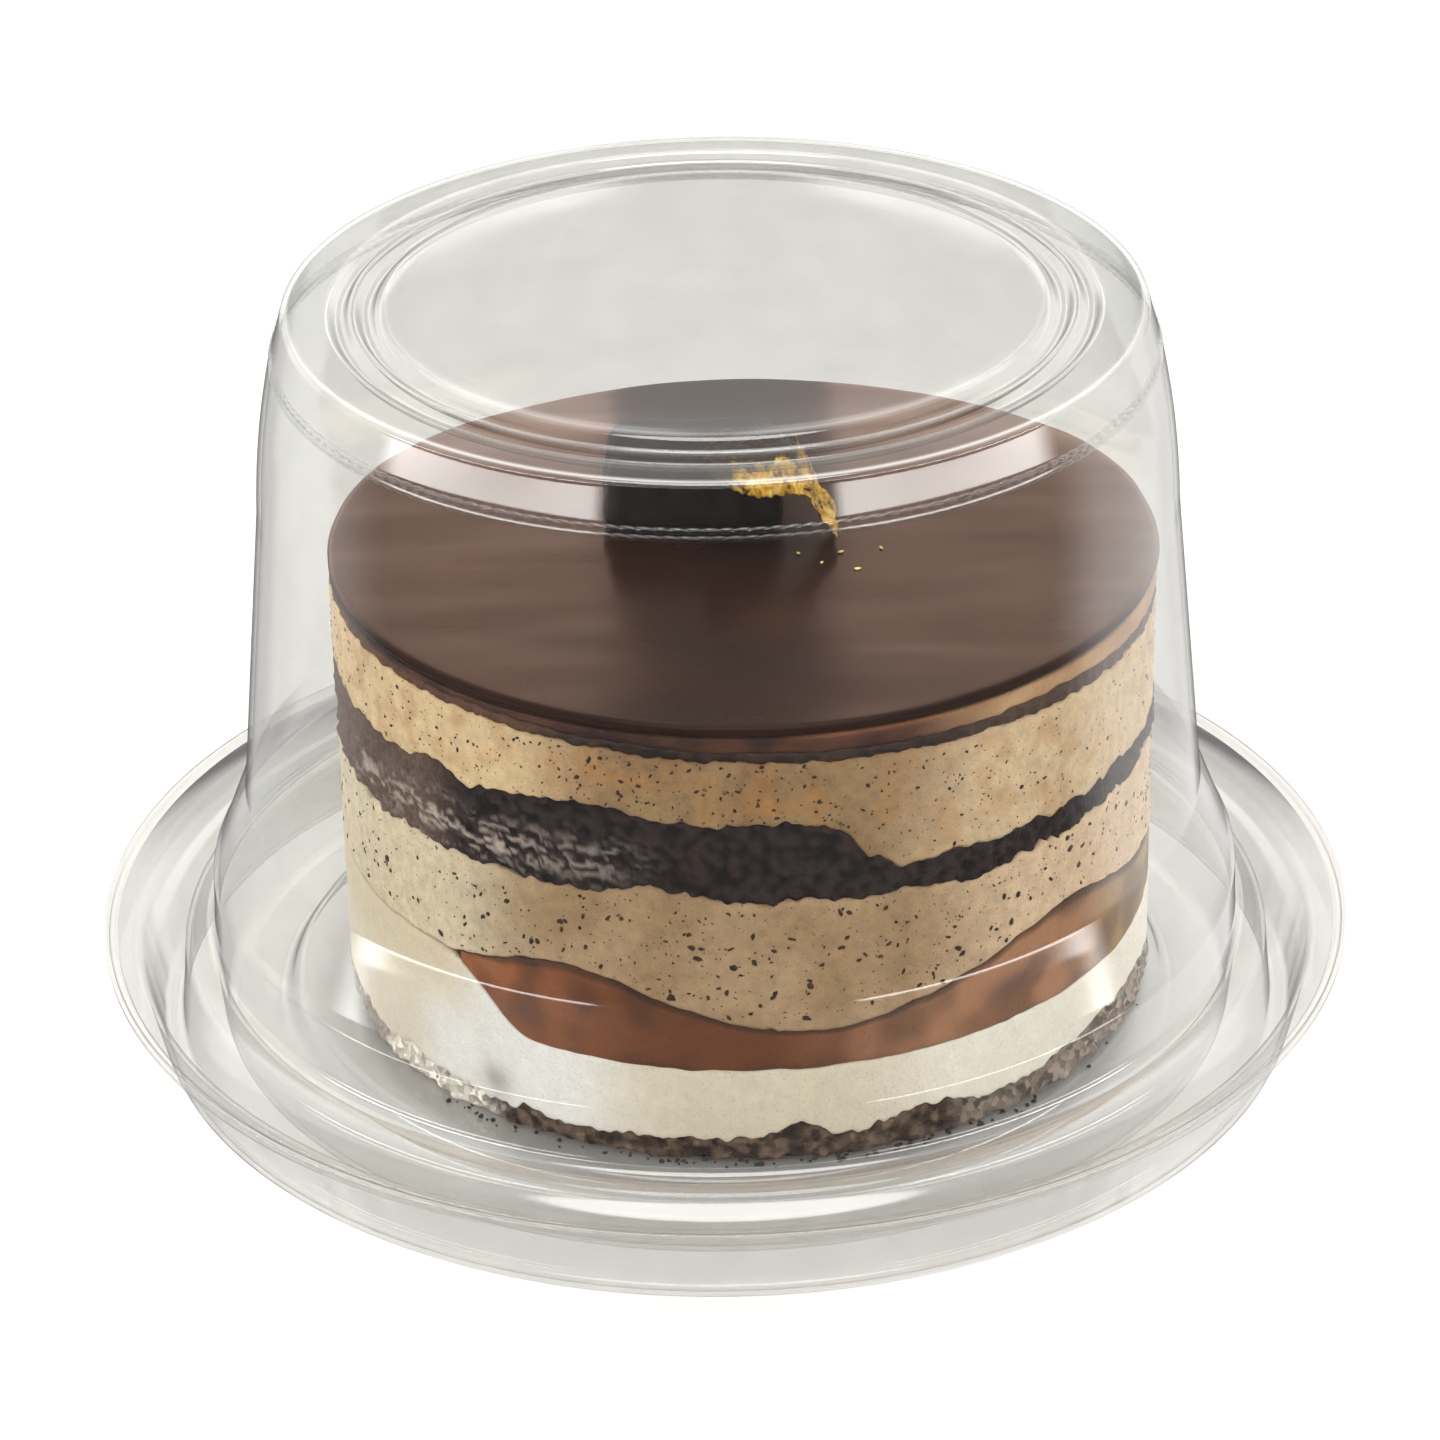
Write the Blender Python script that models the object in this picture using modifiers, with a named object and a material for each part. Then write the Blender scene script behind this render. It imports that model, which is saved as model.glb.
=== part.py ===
"""A single-serve layered mousse cake in its clear domed pack, in metres with +Z up.

The pack stands on its foot ring at z = 0 with its axis on Z, and the front of the cake faces -Y. The cake
stands a little off the pack's axis, towards +X. Angles round the cake run from its front, positive
towards +X, and heights are measured from the surface that the pack stands on.
"""

from math import atan2, cos, degrees, exp, hypot, pi, radians, sin

import bmesh
import bpy
from mathutils import Vector, noise

MM = 0.001
MERGE = 0.00001

# All sizes below are in millimetres, and places are (radius, height) or (x, height)
GAP = 0.3

# Clear pack: the formed sheet, the tray and the lid
SHEET = 0.5
CORNER = 0.8
PACK_HEIGHT = 82.0
PACK_STEPS = 48
PLATFORM_RADIUS = 46.8
PLATFORM_TOP = 4.3
CHANNEL_FLOOR = 0.9
WELL_RADIUS = 54.9
FLANGE_RADIUS = 67.0
FLANGE_TOP = 10.2
RIM_TOP = 11.4
FOOT_OUTER = 61.4
FOOT_WIDTH = 2.2
FOOT_DRAFT = 2.0
LID_RIM_RADIUS = 65.6
LID_FLANGE_TOP = FLANGE_TOP + GAP + SHEET
COLLAR_FOOT_RADIUS = 55.1
COLLAR_HEAD = (54.9, 17.6)
FLARE = ((51.8, 25.0), (54.2, 18.9))
WALL_FOOT = (50.9, 27.4)
WALL_HEAD = (47.9, 59.5)
SHOULDER_POINTS = 2
SHOULDER_FULLNESS = 1.5
CREASE = (45.4, 76.5)
CREASE_BEAD = (0.35, 0.7)
CROWN_RADIUS = 44.3
CROWN_TOP = 81.4
RING_GROOVES = ((35.1, 36.6), (37.9, 39.4))
GROOVE_SLOPE = 0.6
GROOVE_DEPTH = 1.1
DISC_RADIUS = 33.2

# Cake
CAKE_OFFSET_X = 2.5
CAKE_RADIUS = 43.2
CAKE_STEPS = 60
CAKE_FOOT = PLATFORM_TOP + GAP
GLAZE_TOP = 54.6
GLAZE_FOOT = 53.3
GLAZE_OVERHANG = 0.2
GANACHE_THICKNESS = 1.1
CORE_REACH = 0.6
EDGE_REACH = 0.985

# Mean height of each face between the layers, and its waves as (rise, angle, width in degrees)
CRUMB_TOP = 7.0
CRUMB_WAVES = ((1.7, 6, 4), (1.9, 24, 7), (2.4, 64, 18), (1.8, 150, 25), (1.5, -120, 20))
MILK_TOP = 22.8
MILK_WAVES = ((3.0, -25, 13), (-3.2, 9, 18), (3.4, 49, 15), (2.0, 125, 24), (-2.2, 168, 20))
SPONGE_FOOT = 34.6
SPONGE_FOOT_WAVES = ((1.5, -13, 7), (-1.0, 32, 8))
SPONGE_TOP = 40.5
SPONGE_TOP_WAVES = ((1.6, -21, 8),)
SPONGE_STEP = 6.0
GANACHE_FOOT = 50.6
GANACHE_TILT = 1.3

# Where the milk chocolate layer thins out, left of the cake's axis
PINCH_X = -31.5
PINCH_RUN = 9.5
PINCH_THINNEST = 2.0
MILK_FOOT = 15.3
MILK_PINCH_HEIGHT = 22.6

# Decoration on the glaze
PIECE_SIZE = (19.6, 14.0, 8.2)
PIECE_CENTRE = (-2.6, 6.0)
PIECE_TAPER = 0.9
PIECE_ROUNDING = 2.2
LEAF_THICKNESS = 0.35
LEAF_WIDTH = 9.0
LEAF_DEPTH = -0.5
LEAF_PATH = (
    (-1.5, 64.0), (2.2, 64.3), (5.2, 64.8), (7.5, 64.2), (9.1, 61.4), (10.4, 58.0), (12.2, 56.1)
)
LEAF_DROOP = 4.0
LEAF_DROOP_END = 0.7
LEAF_LIFT = 0.2
LEAF_CRUMPLE = 0.45
LEAF_RAGGED = 0.25
LEAF_STEPS = (15, 5)

COLOURS = {
    "clear_plastic": ("D9DAD4", 0.12),
    "glaze": ("4A322B", 0.12),
    "ganache": ("3B271F", 0.55),
    "cap_mousse": ("B08A68", 0.7),
    "speckled_mousse": ("BFA680", 0.75),
    "sponge": ("34282A", 0.9),
    "milk_mousse": ("85583C", 0.65),
    "white_mousse": ("ECE4D8", 0.7),
    "crumb": ("443A34", 0.95),
    "dark_chocolate": ("2A201C", 0.35),
    "gold": ("C79A32", 0.3),
}


def clear_scene():
    for obj in list(bpy.data.objects):
        bpy.data.objects.remove(obj, do_unlink=True)


def linear(channel):
    value = channel / 255
    return value / 12.92 if value <= 0.04045 else ((value + 0.055) / 1.055) ** 2.4


def material(slot):
    """A plain material in the slot's colour and roughness."""
    code, roughness = COLOURS[slot]
    mat = bpy.data.materials.get(slot) or bpy.data.materials.new(slot)
    mat.use_nodes = True
    shader = mat.node_tree.nodes["Principled BSDF"]
    red, green, blue = (linear(int(code[i : i + 2], 16)) for i in (0, 2, 4))
    shader.inputs["Base Color"].default_value = (red, green, blue, 1.0)
    shader.inputs["Roughness"].default_value = roughness
    shader.inputs["Metallic"].default_value = 1.0 if slot == "gold" else 0.0
    return mat


def add_object(name, mesh, slot, collection):
    obj = bpy.data.objects.new(name, mesh)
    obj.data.materials.append(material(slot))
    collection.objects.link(obj)
    return obj


def turned(name, profile, steps, slot, collection, scale=MM):
    """An object whose profile of (radius, height) points is turned once round Z."""
    mesh = bpy.data.meshes.new(name)
    points = [(radius * scale, 0.0, height * scale) for radius, height in profile]
    mesh.from_pydata(points, [(i, i + 1) for i in range(len(points) - 1)], [])
    obj = add_object(name, mesh, slot, collection)
    screw = obj.modifiers.new("turn", "SCREW")
    screw.axis = "Z"
    screw.steps = screw.render_steps = steps
    screw.use_merge_vertices = True
    screw.merge_threshold = MERGE
    screw.use_smooth_shade = True
    return obj


def sheet_object(name, profile, collection):
    """A turned sheet: the profile is its upper side, and its thickness lies below or inside."""
    section = profile + under_side(profile)[::-1]
    return turned(name, section, PACK_STEPS, "clear_plastic", collection)


def under_side(profile):
    """The other side of a sheet: each corner of the profile moved in by the sheet's thickness."""
    corners = [Vector(point) for point in profile]
    runs = [(after - before).normalized() for before, after in zip(corners, corners[1:])]
    normals = [Vector((run.y, -run.x)) for run in runs]
    moved = [corners[0] + normals[0] * SHEET]
    for corner, before, after in zip(corners[1:-1], normals, normals[1:]):
        moved.append(corner + (before + after) * SHEET / (1.0 + before.dot(after)))
    moved.append(corners[-1] + normals[-1] * SHEET)
    return [tuple(corner) for corner in moved]


def applied(obj):
    """The object with its modifiers made into its mesh."""
    graph = bpy.context.evaluated_depsgraph_get()
    mesh = bpy.data.meshes.new_from_object(obj.evaluated_get(graph))
    old = obj.data
    obj.modifiers.clear()
    obj.data = mesh
    bpy.data.meshes.remove(old)
    mesh.name = obj.name
    return obj


# Clear pack


def tray_profile():
    """Upper side of the tray: platform, channel, well wall, foot groove, flange and upturned rim."""
    platform = [
        (0.0, PLATFORM_TOP),
        (PLATFORM_RADIUS - CORNER, PLATFORM_TOP),
        (PLATFORM_RADIUS, PLATFORM_TOP - CORNER),
    ]
    channel = [
        (PLATFORM_RADIUS + CORNER, CHANNEL_FLOOR + CORNER),
        (PLATFORM_RADIUS + 2 * CORNER, CHANNEL_FLOOR),
        (WELL_RADIUS - 2 * CORNER, CHANNEL_FLOOR),
        (WELL_RADIUS - CORNER, CHANNEL_FLOOR + CORNER),
    ]
    well = [(WELL_RADIUS, FLANGE_TOP - CORNER), (WELL_RADIUS + CORNER, FLANGE_TOP)]
    inner = FOOT_OUTER - FOOT_WIDTH
    outer = FOOT_OUTER - CORNER * SHEET
    groove = [
        (inner - 2 * CORNER, FLANGE_TOP),
        (inner - CORNER, FLANGE_TOP - CORNER),
        (inner, SHEET),
        (outer, SHEET),
        (outer + FOOT_DRAFT, FLANGE_TOP - CORNER),
        (outer + FOOT_DRAFT + CORNER, FLANGE_TOP),
    ]
    edge = FLANGE_RADIUS - SHEET
    rim = [(edge - CORNER, FLANGE_TOP), (edge, FLANGE_TOP + 0.5 * CORNER), (edge, RIM_TOP)]
    return platform + channel + well + groove + rim


def shoulder(start, end):
    """Points of a rounded shoulder from start down to end, both left out."""
    points = []
    for i in range(1, SHOULDER_POINTS + 1):
        turn = 0.5 * pi * i / (SHOULDER_POINTS + 1)
        radius = start[0] + (end[0] - start[0]) * sin(turn) ** (2 / SHOULDER_FULLNESS)
        height = end[1] + (start[1] - end[1]) * cos(turn) ** (2 / SHOULDER_FULLNESS)
        points.append((radius, height))
    return points


def lid_profile():
    """Outer side of the dome lid, from the middle of its top to the edge of its flange."""
    points = [(0.0, PACK_HEIGHT), (DISC_RADIUS, PACK_HEIGHT)]
    for inner, outer in RING_GROOVES:
        points += [
            (inner - GROOVE_SLOPE, CROWN_TOP),
            (inner, CROWN_TOP - GROOVE_DEPTH),
            (outer - GROOVE_SLOPE, CROWN_TOP - GROOVE_DEPTH),
            (outer, CROWN_TOP),
        ]
    points += [(CROWN_RADIUS - CORNER, CROWN_TOP), (CROWN_RADIUS, CROWN_TOP - 0.25 * CORNER)]
    proud, half = CREASE_BEAD
    points += [
        (CREASE[0], CREASE[1] + half),
        (CREASE[0] + proud, CREASE[1]),
        (CREASE[0], CREASE[1] - half),
    ]
    points += [*shoulder(points[-1], WALL_HEAD), WALL_HEAD, WALL_FOOT, *FLARE, COLLAR_HEAD]
    points += [
        (COLLAR_FOOT_RADIUS, LID_FLANGE_TOP + CORNER),
        (COLLAR_FOOT_RADIUS + CORNER, LID_FLANGE_TOP),
        (LID_RIM_RADIUS, LID_FLANGE_TOP),
    ]
    return points


# Heights of the faces between the cake's layers


def bump(angle, centre, width):
    """A smooth rise of 1 at the centre angle."""
    away = (angle - centre + 180.0) % 360.0 - 180.0
    return exp(-((away / width) ** 2))


def waves(angle, rises):
    return sum(rise * bump(angle, centre, width) for rise, centre, width in rises)


def smooth(value):
    value = min(max(value, 0.0), 1.0)
    return value * value * (3.0 - 2.0 * value)


def crags(angle, pitch, seed):
    """Small ragged rises and falls round the edge, between about -1 and 1."""
    turn = radians(angle)
    return 1.6 * noise.noise(Vector((pitch * cos(turn), pitch * sin(turn), seed)))


def crumb_top(angle, reach):
    return CRUMB_TOP + reach**2 * (waves(angle, CRUMB_WAVES) + 0.5 * crags(angle, 6.0, 1.0))


def white_top(angle, reach):
    """Flat, and risen on the left, where the milk chocolate layer thins out."""
    across = CAKE_RADIUS * reach * sin(radians(angle)) - PINCH_X
    return MILK_FOOT + (MILK_PINCH_HEIGHT - MILK_FOOT) * (1.0 - smooth(across / PINCH_RUN))


def milk_top(angle, reach):
    return max(MILK_TOP + reach**2 * waves(angle, MILK_WAVES), white_top(angle, reach) + GAP)


def sponge_foot(angle, reach):
    return SPONGE_FOOT + reach**2 * (waves(angle, SPONGE_FOOT_WAVES) + 0.4 * crags(angle, 5.0, 2.0))


def sponge_top(angle, reach):
    """High on the left, with a step down to a thin band on the right."""
    step = 0.5 - smooth((angle - 8.0) / 12.0) + smooth((angle - 120.0) / 60.0)
    rise = SPONGE_STEP * step + waves(angle, SPONGE_TOP_WAVES) + 0.5 * crags(angle, 5.0, 3.0)
    return SPONGE_TOP + reach**2 * rise


def ganache_foot(angle, reach):
    """Tilted down towards the right."""
    tilt = reach * GANACHE_TILT * sin(radians(angle))
    return GANACHE_FOOT - tilt + 0.15 * reach**2 * crags(angle, 4.0, 4.0)


def ganache_top(angle, reach):
    high = ganache_foot(angle, reach) + GANACHE_THICKNESS
    return min(high, GLAZE_FOOT - GAP - 0.5)


def flat(height):
    return lambda angle, reach: height


# Cake


def full_round(angle):
    return 1.0


def milk_reach(angle):
    """How far out the milk chocolate layer goes: the full radius, or the line where it thins out."""
    side = sin(radians(angle))
    edge = PINCH_X + PINCH_THINNEST
    return min(1.0, edge / (CAKE_RADIUS * side)) if side < 0.0 else 1.0


def layer_section():
    """The half section of a layer as (reach, level) points, down its outer side."""
    side = [(1.0, 0.8), (1.0, 0.2)]
    inwards = [EDGE_REACH, CORE_REACH, 0.0]
    return [(reach, 1.0) for reach in inwards[::-1]] + side + [(reach, 0.0) for reach in inwards]


def cake_layer(name, slot, low, high, collection, outline=full_round, ragged=0.0, overhang=0.0):
    """A solid between two uneven faces, each a function of angle and reach, with a gap kept to both.

    outline gives the layer's reach by angle, ragged the depth of its crags, overhang what it stands proud.
    """
    obj = applied(turned(name, layer_section(), CAKE_STEPS, slot, collection, scale=1.0))
    for vertex in obj.data.vertices:
        level = vertex.co.z
        angle = degrees(atan2(vertex.co.x, -vertex.co.y))
        reach = hypot(vertex.co.x, vertex.co.y)
        if reach > CORE_REACH + 0.01:
            reach *= outline(angle)
        floor = low(angle, reach) + 0.5 * GAP
        ceiling = high(angle, reach) - 0.5 * GAP
        height = floor + level * (ceiling - floor)
        radius = reach * CAKE_RADIUS
        if reach > CORE_REACH + 0.01:
            radius += overhang + ragged * crags(angle, 9.0, height)
        turn = radians(angle)
        vertex.co = (
            (CAKE_OFFSET_X + radius * sin(turn)) * MM,
            -radius * cos(turn) * MM,
            height * MM,
        )
    return split_faces(obj)


def split_faces(obj):
    """Splits the object's uneven faces into triangles, so that both sides of a gap run alike."""
    sculpt = bmesh.new()
    sculpt.from_mesh(obj.data)
    bmesh.ops.triangulate(sculpt, faces=sculpt.faces[:], quad_method="SHORT_EDGE")
    sculpt.to_mesh(obj.data)
    sculpt.free()
    return obj


def build_cake(collection):
    foot = flat(CAKE_FOOT - 0.5 * GAP)
    top = flat(GLAZE_TOP + 0.5 * GAP)
    glaze_foot = flat(GLAZE_FOOT)
    cake_layer("crumb_base", "crumb", foot, crumb_top, collection, ragged=0.7)
    cake_layer("white_mousse", "white_mousse", crumb_top, white_top, collection)
    cake_layer("milk_mousse", "milk_mousse", white_top, milk_top, collection, outline=milk_reach)
    cake_layer("lower_speckled_mousse", "speckled_mousse", milk_top, sponge_foot, collection)
    cake_layer("chocolate_sponge", "sponge", sponge_foot, sponge_top, collection, ragged=0.8)
    cake_layer("upper_speckled_mousse", "speckled_mousse", sponge_top, ganache_foot, collection)
    cake_layer("ganache_line", "ganache", ganache_foot, ganache_top, collection, ragged=0.4)
    cake_layer("cap_mousse", "cap_mousse", ganache_top, glaze_foot, collection)
    cake_layer("glaze", "glaze", glaze_foot, top, collection, overhang=GLAZE_OVERHANG)


# Decoration


def chocolate_piece(collection):
    """A dark chocolate block with rounded edges, a little narrower at its top."""
    sculpt = bmesh.new()
    bmesh.ops.create_cube(sculpt, size=1.0)
    foot = GLAZE_TOP + GAP
    for vertex in sculpt.verts:
        taper = PIECE_TAPER if vertex.co.z > 0 else 1.0
        vertex.co = (
            (PIECE_CENTRE[0] + vertex.co.x * PIECE_SIZE[0] * taper) * MM,
            (PIECE_CENTRE[1] + vertex.co.y * PIECE_SIZE[1] * taper) * MM,
            (foot + (vertex.co.z + 0.5) * PIECE_SIZE[2]) * MM,
        )
    mesh = bpy.data.meshes.new("chocolate_piece")
    sculpt.to_mesh(mesh)
    sculpt.free()
    mesh.shade_smooth()
    obj = add_object("chocolate_piece", mesh, "dark_chocolate", collection)
    bevel = obj.modifiers.new("rounding", "BEVEL")
    bevel.width = PIECE_ROUNDING * MM
    bevel.segments = 3
    return obj


def leaf_point(along):
    """A point of the leaf's path at a share of its length, on a smooth curve through its corners."""
    spans = len(LEAF_PATH) - 1
    span = min(int(along * spans), spans - 1)
    share = along * spans - span
    corners = [LEAF_PATH[min(max(span + step, 0), spans)] for step in (-1, 0, 1, 2)]
    before, start, end, after = (Vector(corner) for corner in corners)
    slope = end - before
    bend = 2 * before - 5 * start + 4 * end - after
    twist = 3 * start - before - 3 * end + after
    return 0.5 * (2 * start + slope * share + bend * share**2 + twist * share**3)


def leaf_droop(along, across):
    """How far the leaf's front edge hangs down before the chocolate piece."""
    return LEAF_DROOP * sin(pi * min(along / LEAF_DROOP_END, 1.0)) * max(0.0, -2.0 * across) ** 2


def gold_leaf(collection):
    """A crumpled leaf of gold over the chocolate piece's top, arching down to the glaze beside it."""
    sculpt = bmesh.new()
    bmesh.ops.create_grid(sculpt, x_segments=LEAF_STEPS[0], y_segments=LEAF_STEPS[1], size=0.5)
    for vertex in sculpt.verts:
        along = vertex.co.x + 0.5
        across = vertex.co.y
        middle = leaf_point(along)
        ahead = leaf_point(min(along + 0.01, 1.0)) - leaf_point(max(along - 0.01, 0.0))
        normal = Vector((-ahead.y, ahead.x)).normalized()
        crumple = LEAF_CRUMPLE * noise.noise(Vector((7.0 * along, 5.0 * across, 2.5)))
        ragged = 1.0 + LEAF_RAGGED * noise.noise(Vector((9.0 * along, 0.0, 7.1)))
        place = middle + normal * (crumple + LEAF_LIFT)
        depth = LEAF_DEPTH + across * LEAF_WIDTH * ragged
        height = place.y - leaf_droop(along, across)
        vertex.co = (place.x * MM, depth * MM, height * MM)
    bmesh.ops.triangulate(sculpt, faces=sculpt.faces[:])
    mesh = bpy.data.meshes.new("gold_leaf")
    sculpt.to_mesh(mesh)
    sculpt.free()
    mesh.shade_smooth()
    obj = add_object("gold_leaf", mesh, "gold", collection)
    solidify = obj.modifiers.new("leaf", "SOLIDIFY")
    solidify.thickness = LEAF_THICKNESS * MM
    solidify.offset = 0.0
    return obj


def main():
    clear_scene()
    collection = bpy.data.collections.new("mousse_cake")
    bpy.context.scene.collection.children.link(collection)
    sheet_object("tray", tray_profile(), collection)
    sheet_object("dome_lid", lid_profile(), collection)
    build_cake(collection)
    chocolate_piece(collection)
    gold_leaf(collection)


main()
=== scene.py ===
"""Looks of the layered mousse cake in its clear domed pack: finish, fine relief, light and camera.

Sizes are in millimetres and become metres when a mesh is made. Angles round the cake run from its front,
-Y, and are positive towards +X. Heights are measured from the surface that the pack stands on.
"""

import random
from math import ceil, copysign, cos, exp, hypot, pi, radians, sin

import bmesh
import bpy
import numpy as np
from mathutils import Matrix, Vector, noise


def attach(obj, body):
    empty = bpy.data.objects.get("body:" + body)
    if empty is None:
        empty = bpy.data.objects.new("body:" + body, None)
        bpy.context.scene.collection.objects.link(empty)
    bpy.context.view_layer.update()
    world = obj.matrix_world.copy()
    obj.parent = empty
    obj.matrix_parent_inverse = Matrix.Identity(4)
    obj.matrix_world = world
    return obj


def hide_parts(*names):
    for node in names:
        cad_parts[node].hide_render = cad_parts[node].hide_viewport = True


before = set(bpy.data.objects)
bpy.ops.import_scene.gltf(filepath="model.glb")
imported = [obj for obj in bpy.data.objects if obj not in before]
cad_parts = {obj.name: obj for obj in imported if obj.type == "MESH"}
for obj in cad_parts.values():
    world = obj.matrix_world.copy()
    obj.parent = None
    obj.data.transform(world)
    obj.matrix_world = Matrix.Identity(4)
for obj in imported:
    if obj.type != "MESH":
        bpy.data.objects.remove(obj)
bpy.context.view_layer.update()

MM = 0.001
UP = Vector((0.0, 0.0, 1.0))

# Clear pack, as (radius, height)
SHEET = 0.5
CORNER = 0.8
TRAY_STEPS = 384
LID_STEPS = 320
PACK_HEIGHT = 82.0
PLATFORM_RADIUS = 46.8
PLATFORM_TOP = 4.3
CHANNEL_FLOOR = 0.9
WELL_RADIUS = 54.9
FLANGE_RADIUS = 67.0
FLANGE_TOP = 10.2
RIM_TOP = 11.4
FOOT_OUTER = 61.4
FOOT_WIDTH = 2.2
FOOT_DRAFT = 2.0
LID_RIM_RADIUS = 65.6
LID_FLANGE_TOP = 11.0
COLLAR_FOOT_RADIUS = 55.1
COLLAR_HEAD = (54.9, 17.6)
FLARE = ((51.8, 25.0), (54.2, 18.9))
WALL_FOOT = (50.9, 27.4)
WALL_HEAD = (47.9, 59.5)
SHOULDER_POINTS = 6
SHOULDER_FULLNESS = 1.5
CREASE = (45.4, 76.5)
CREASE_BEAD = (0.35, 0.7)
CREASE_STEP = 0.45
BEADS = 178
BEAD_ROWS = (76.95, 76.1)
BEAD_SIZE = (0.16, 0.34)
BEAD_STEPS = 6
BEAD_SIDES = 8
BEAD_BLUNTNESS = 0.7
CROWN_RADIUS = 44.3
CROWN_TOP = 81.4
RING_GROOVES = ((35.1, 36.6), (37.9, 39.4))
GROOVE_SLOPE = 0.6
GROOVE_DEPTH = 1.1
DISC_RADIUS = 33.2
DISC_FLAT = 24.0
DISC_DROOP = 0.3
DISC_POINTS = 6
FILLET = 1.1
FLARE_FILLET = 0.35
FLARE_HEIGHTS = (16.0, 30.0)
GUARD = 0.2
FLUTES = 64
FLUTE_DEPTH = 0.45
LID_TINT = (0.82, 0.825, 0.805)
LID_HAZE = 0.008
LID_SHINE = 1.0
TRAY_TINT = (0.835, 0.835, 0.82)
TRAY_HAZE = 0.20
TRAY_SHINE = 0.7
EDGE_TINT = (0.62, 0.62, 0.60)
CLOUD = 0.95
# Painted highlight lines: rings of white film on the lid at these radii, each (radius, share of film)
BEND_HIGHLIGHTS = ((33.6, 0.16), (36.9, 0.10), (39.6, 0.14), (43.75, 0.5))
BEND_WIDTH = 0.35
BEND_LIMIT = 50.0

# Cake
CAKE_OFFSET_X = 2.5
CAKE_RADIUS = 43.2
CAKE_STEPS = 840
ROW_PITCH = 0.33
CAKE_FOOT = 4.6
GLAZE_TOP = 54.6
GLAZE_FOOT = 53.3
GLAZE_OVERHANG = 0.2
GLAZE_STEPS = 480
GLAZE_TOP_RINGS = 60
GLAZE_EDGE_RINGS = 8
BACK_SAG = 1.9
BACK_SAG_START = 14.0
GANACHE_THICKNESS = 1.1
GANACHE_WAVES = ((0.7, 48, 16),)
LAYER_EDGE = 0.12

# Mean height of each face between the layers, and its waves as (rise, angle, width in degrees)
CRUMB_TOP = 7.0
CRUMB_WAVES = ((1.7, 6, 4), (1.9, 24, 7), (2.4, 64, 18), (1.8, 150, 25), (1.5, -120, 20))
MILK_TOP = 22.8
MILK_WAVES = ((3.0, -25, 13), (-3.2, 9, 18), (3.4, 49, 15), (2.0, 125, 24), (-2.2, 168, 20))
SPONGE_FOOT = 34.6
SPONGE_FOOT_WAVES = ((1.5, -13, 7), (-1.0, 32, 8))
SPONGE_TOP = 40.5
SPONGE_TOP_WAVES = ((1.6, -21, 8),)
SPONGE_STEP = 6.0
GANACHE_FOOT = 50.6
GANACHE_TILT = 1.3
PINCH_X = -31.5
PINCH_RUN = 9.5
PINCH_THINNEST = 2.0
MILK_FOOT = 15.3
MILK_PINCH_HEIGHT = 22.6

# Tints of the layers' sides, each (colour, strength, side, start, run): side is 1 to the right and -1 to
# the left, and the tint comes in over the run, in degrees from the front
# The paler tints at the left and right of both speckled mousse layers are painted light: they brighten the
# sides, where the side lights fall, over the darker front
UPPER_MOUSSE_PAINTED_SIDE_LIGHT = (("EBD0A8", 0.8, 1, 12.0, 25.0), ("EDCFA0", 1.0, -1, 16.0, 22.0))
LOWER_MOUSSE_PAINTED_SIDE_LIGHT = (("EBCDAA", 0.85, 1, 18.0, 25.0), ("EBDCBC", 0.9, -1, 26.0, 22.0))
MILK_TINTS = (
    ("74401F", 1.0, 1, -40.0, 30.0), ("B27F5B", 1.0, 1, 1.0, 26.0), ("A8854F", 1.0, 1, 50.0, 15.0)
)
# The near-white tints at the left and right of the white layer are painted light, for the side lights
# falling there; the front keeps the darker cream
WHITE_PAINTED_SIDE_LIGHT = (("FDFBF6", 1.0, -1, 12.0, 15.0), ("FBF4E6", 1.0, 1, 14.0, 15.0))
GANACHE_TINTS = (("7E5438", 0.6, -1, 22.0, 12.0), ("5C4232", 0.7, 1, 24.0, 14.0))

# Spots of another colour on the layers' sides, each (angle, height, width, tallness)
WARM_SPOTS = ((-17, 48.2, 6.0, 1.2), (3, 45.6, 5.0, 0.9))
MAUVE_SPOTS = ((38, 19.5, 3.0, 1.6), (-33, 18.2, 2.2, 1.4))
GREY_SPOTS = ((-37.5, 9.2, 1.9, 1.8),)

# Chocolate specks: how many, their lengths, and where they are densest
LOWER_SPECKS = (640, (0.25, 0.35, 0.5, 0.8))
UPPER_SPECKS = (520, (0.3, 0.4, 0.55))
SPECK_CENTRE = -4.0
SPECK_SPREAD = 30.0
SPECK_LEAST = 0.35
CRUMBS = 90

# Decoration on the glaze
PIECE_SIZE = (19.6, 14.0, 8.2)
PIECE_CENTRE = (-2.6, 6.0)
PIECE_TAPER = 0.9
PIECE_ROUNDING = 2.2
PIECE_CUTS = 27
LEAF_THICKNESS = 0.12
LEAF_WIDTH = 9.0
LEAF_DEPTH = -0.5
LEAF_PATH = (
    (-1.5, 64.0), (2.2, 64.3), (5.2, 64.8), (7.5, 64.2), (9.1, 61.4), (10.4, 58.0), (12.2, 56.1)
)
LEAF_DROOP = 4.0
LEAF_DROOP_END = 0.7
LEAF_CELLS = (150, 54)
FLECK_SPOTS = ((10.6, -7.6), (14.2, -9.2), (12.6, -5.2), (16.8, -4.4), (8.2, -5.4))

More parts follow.
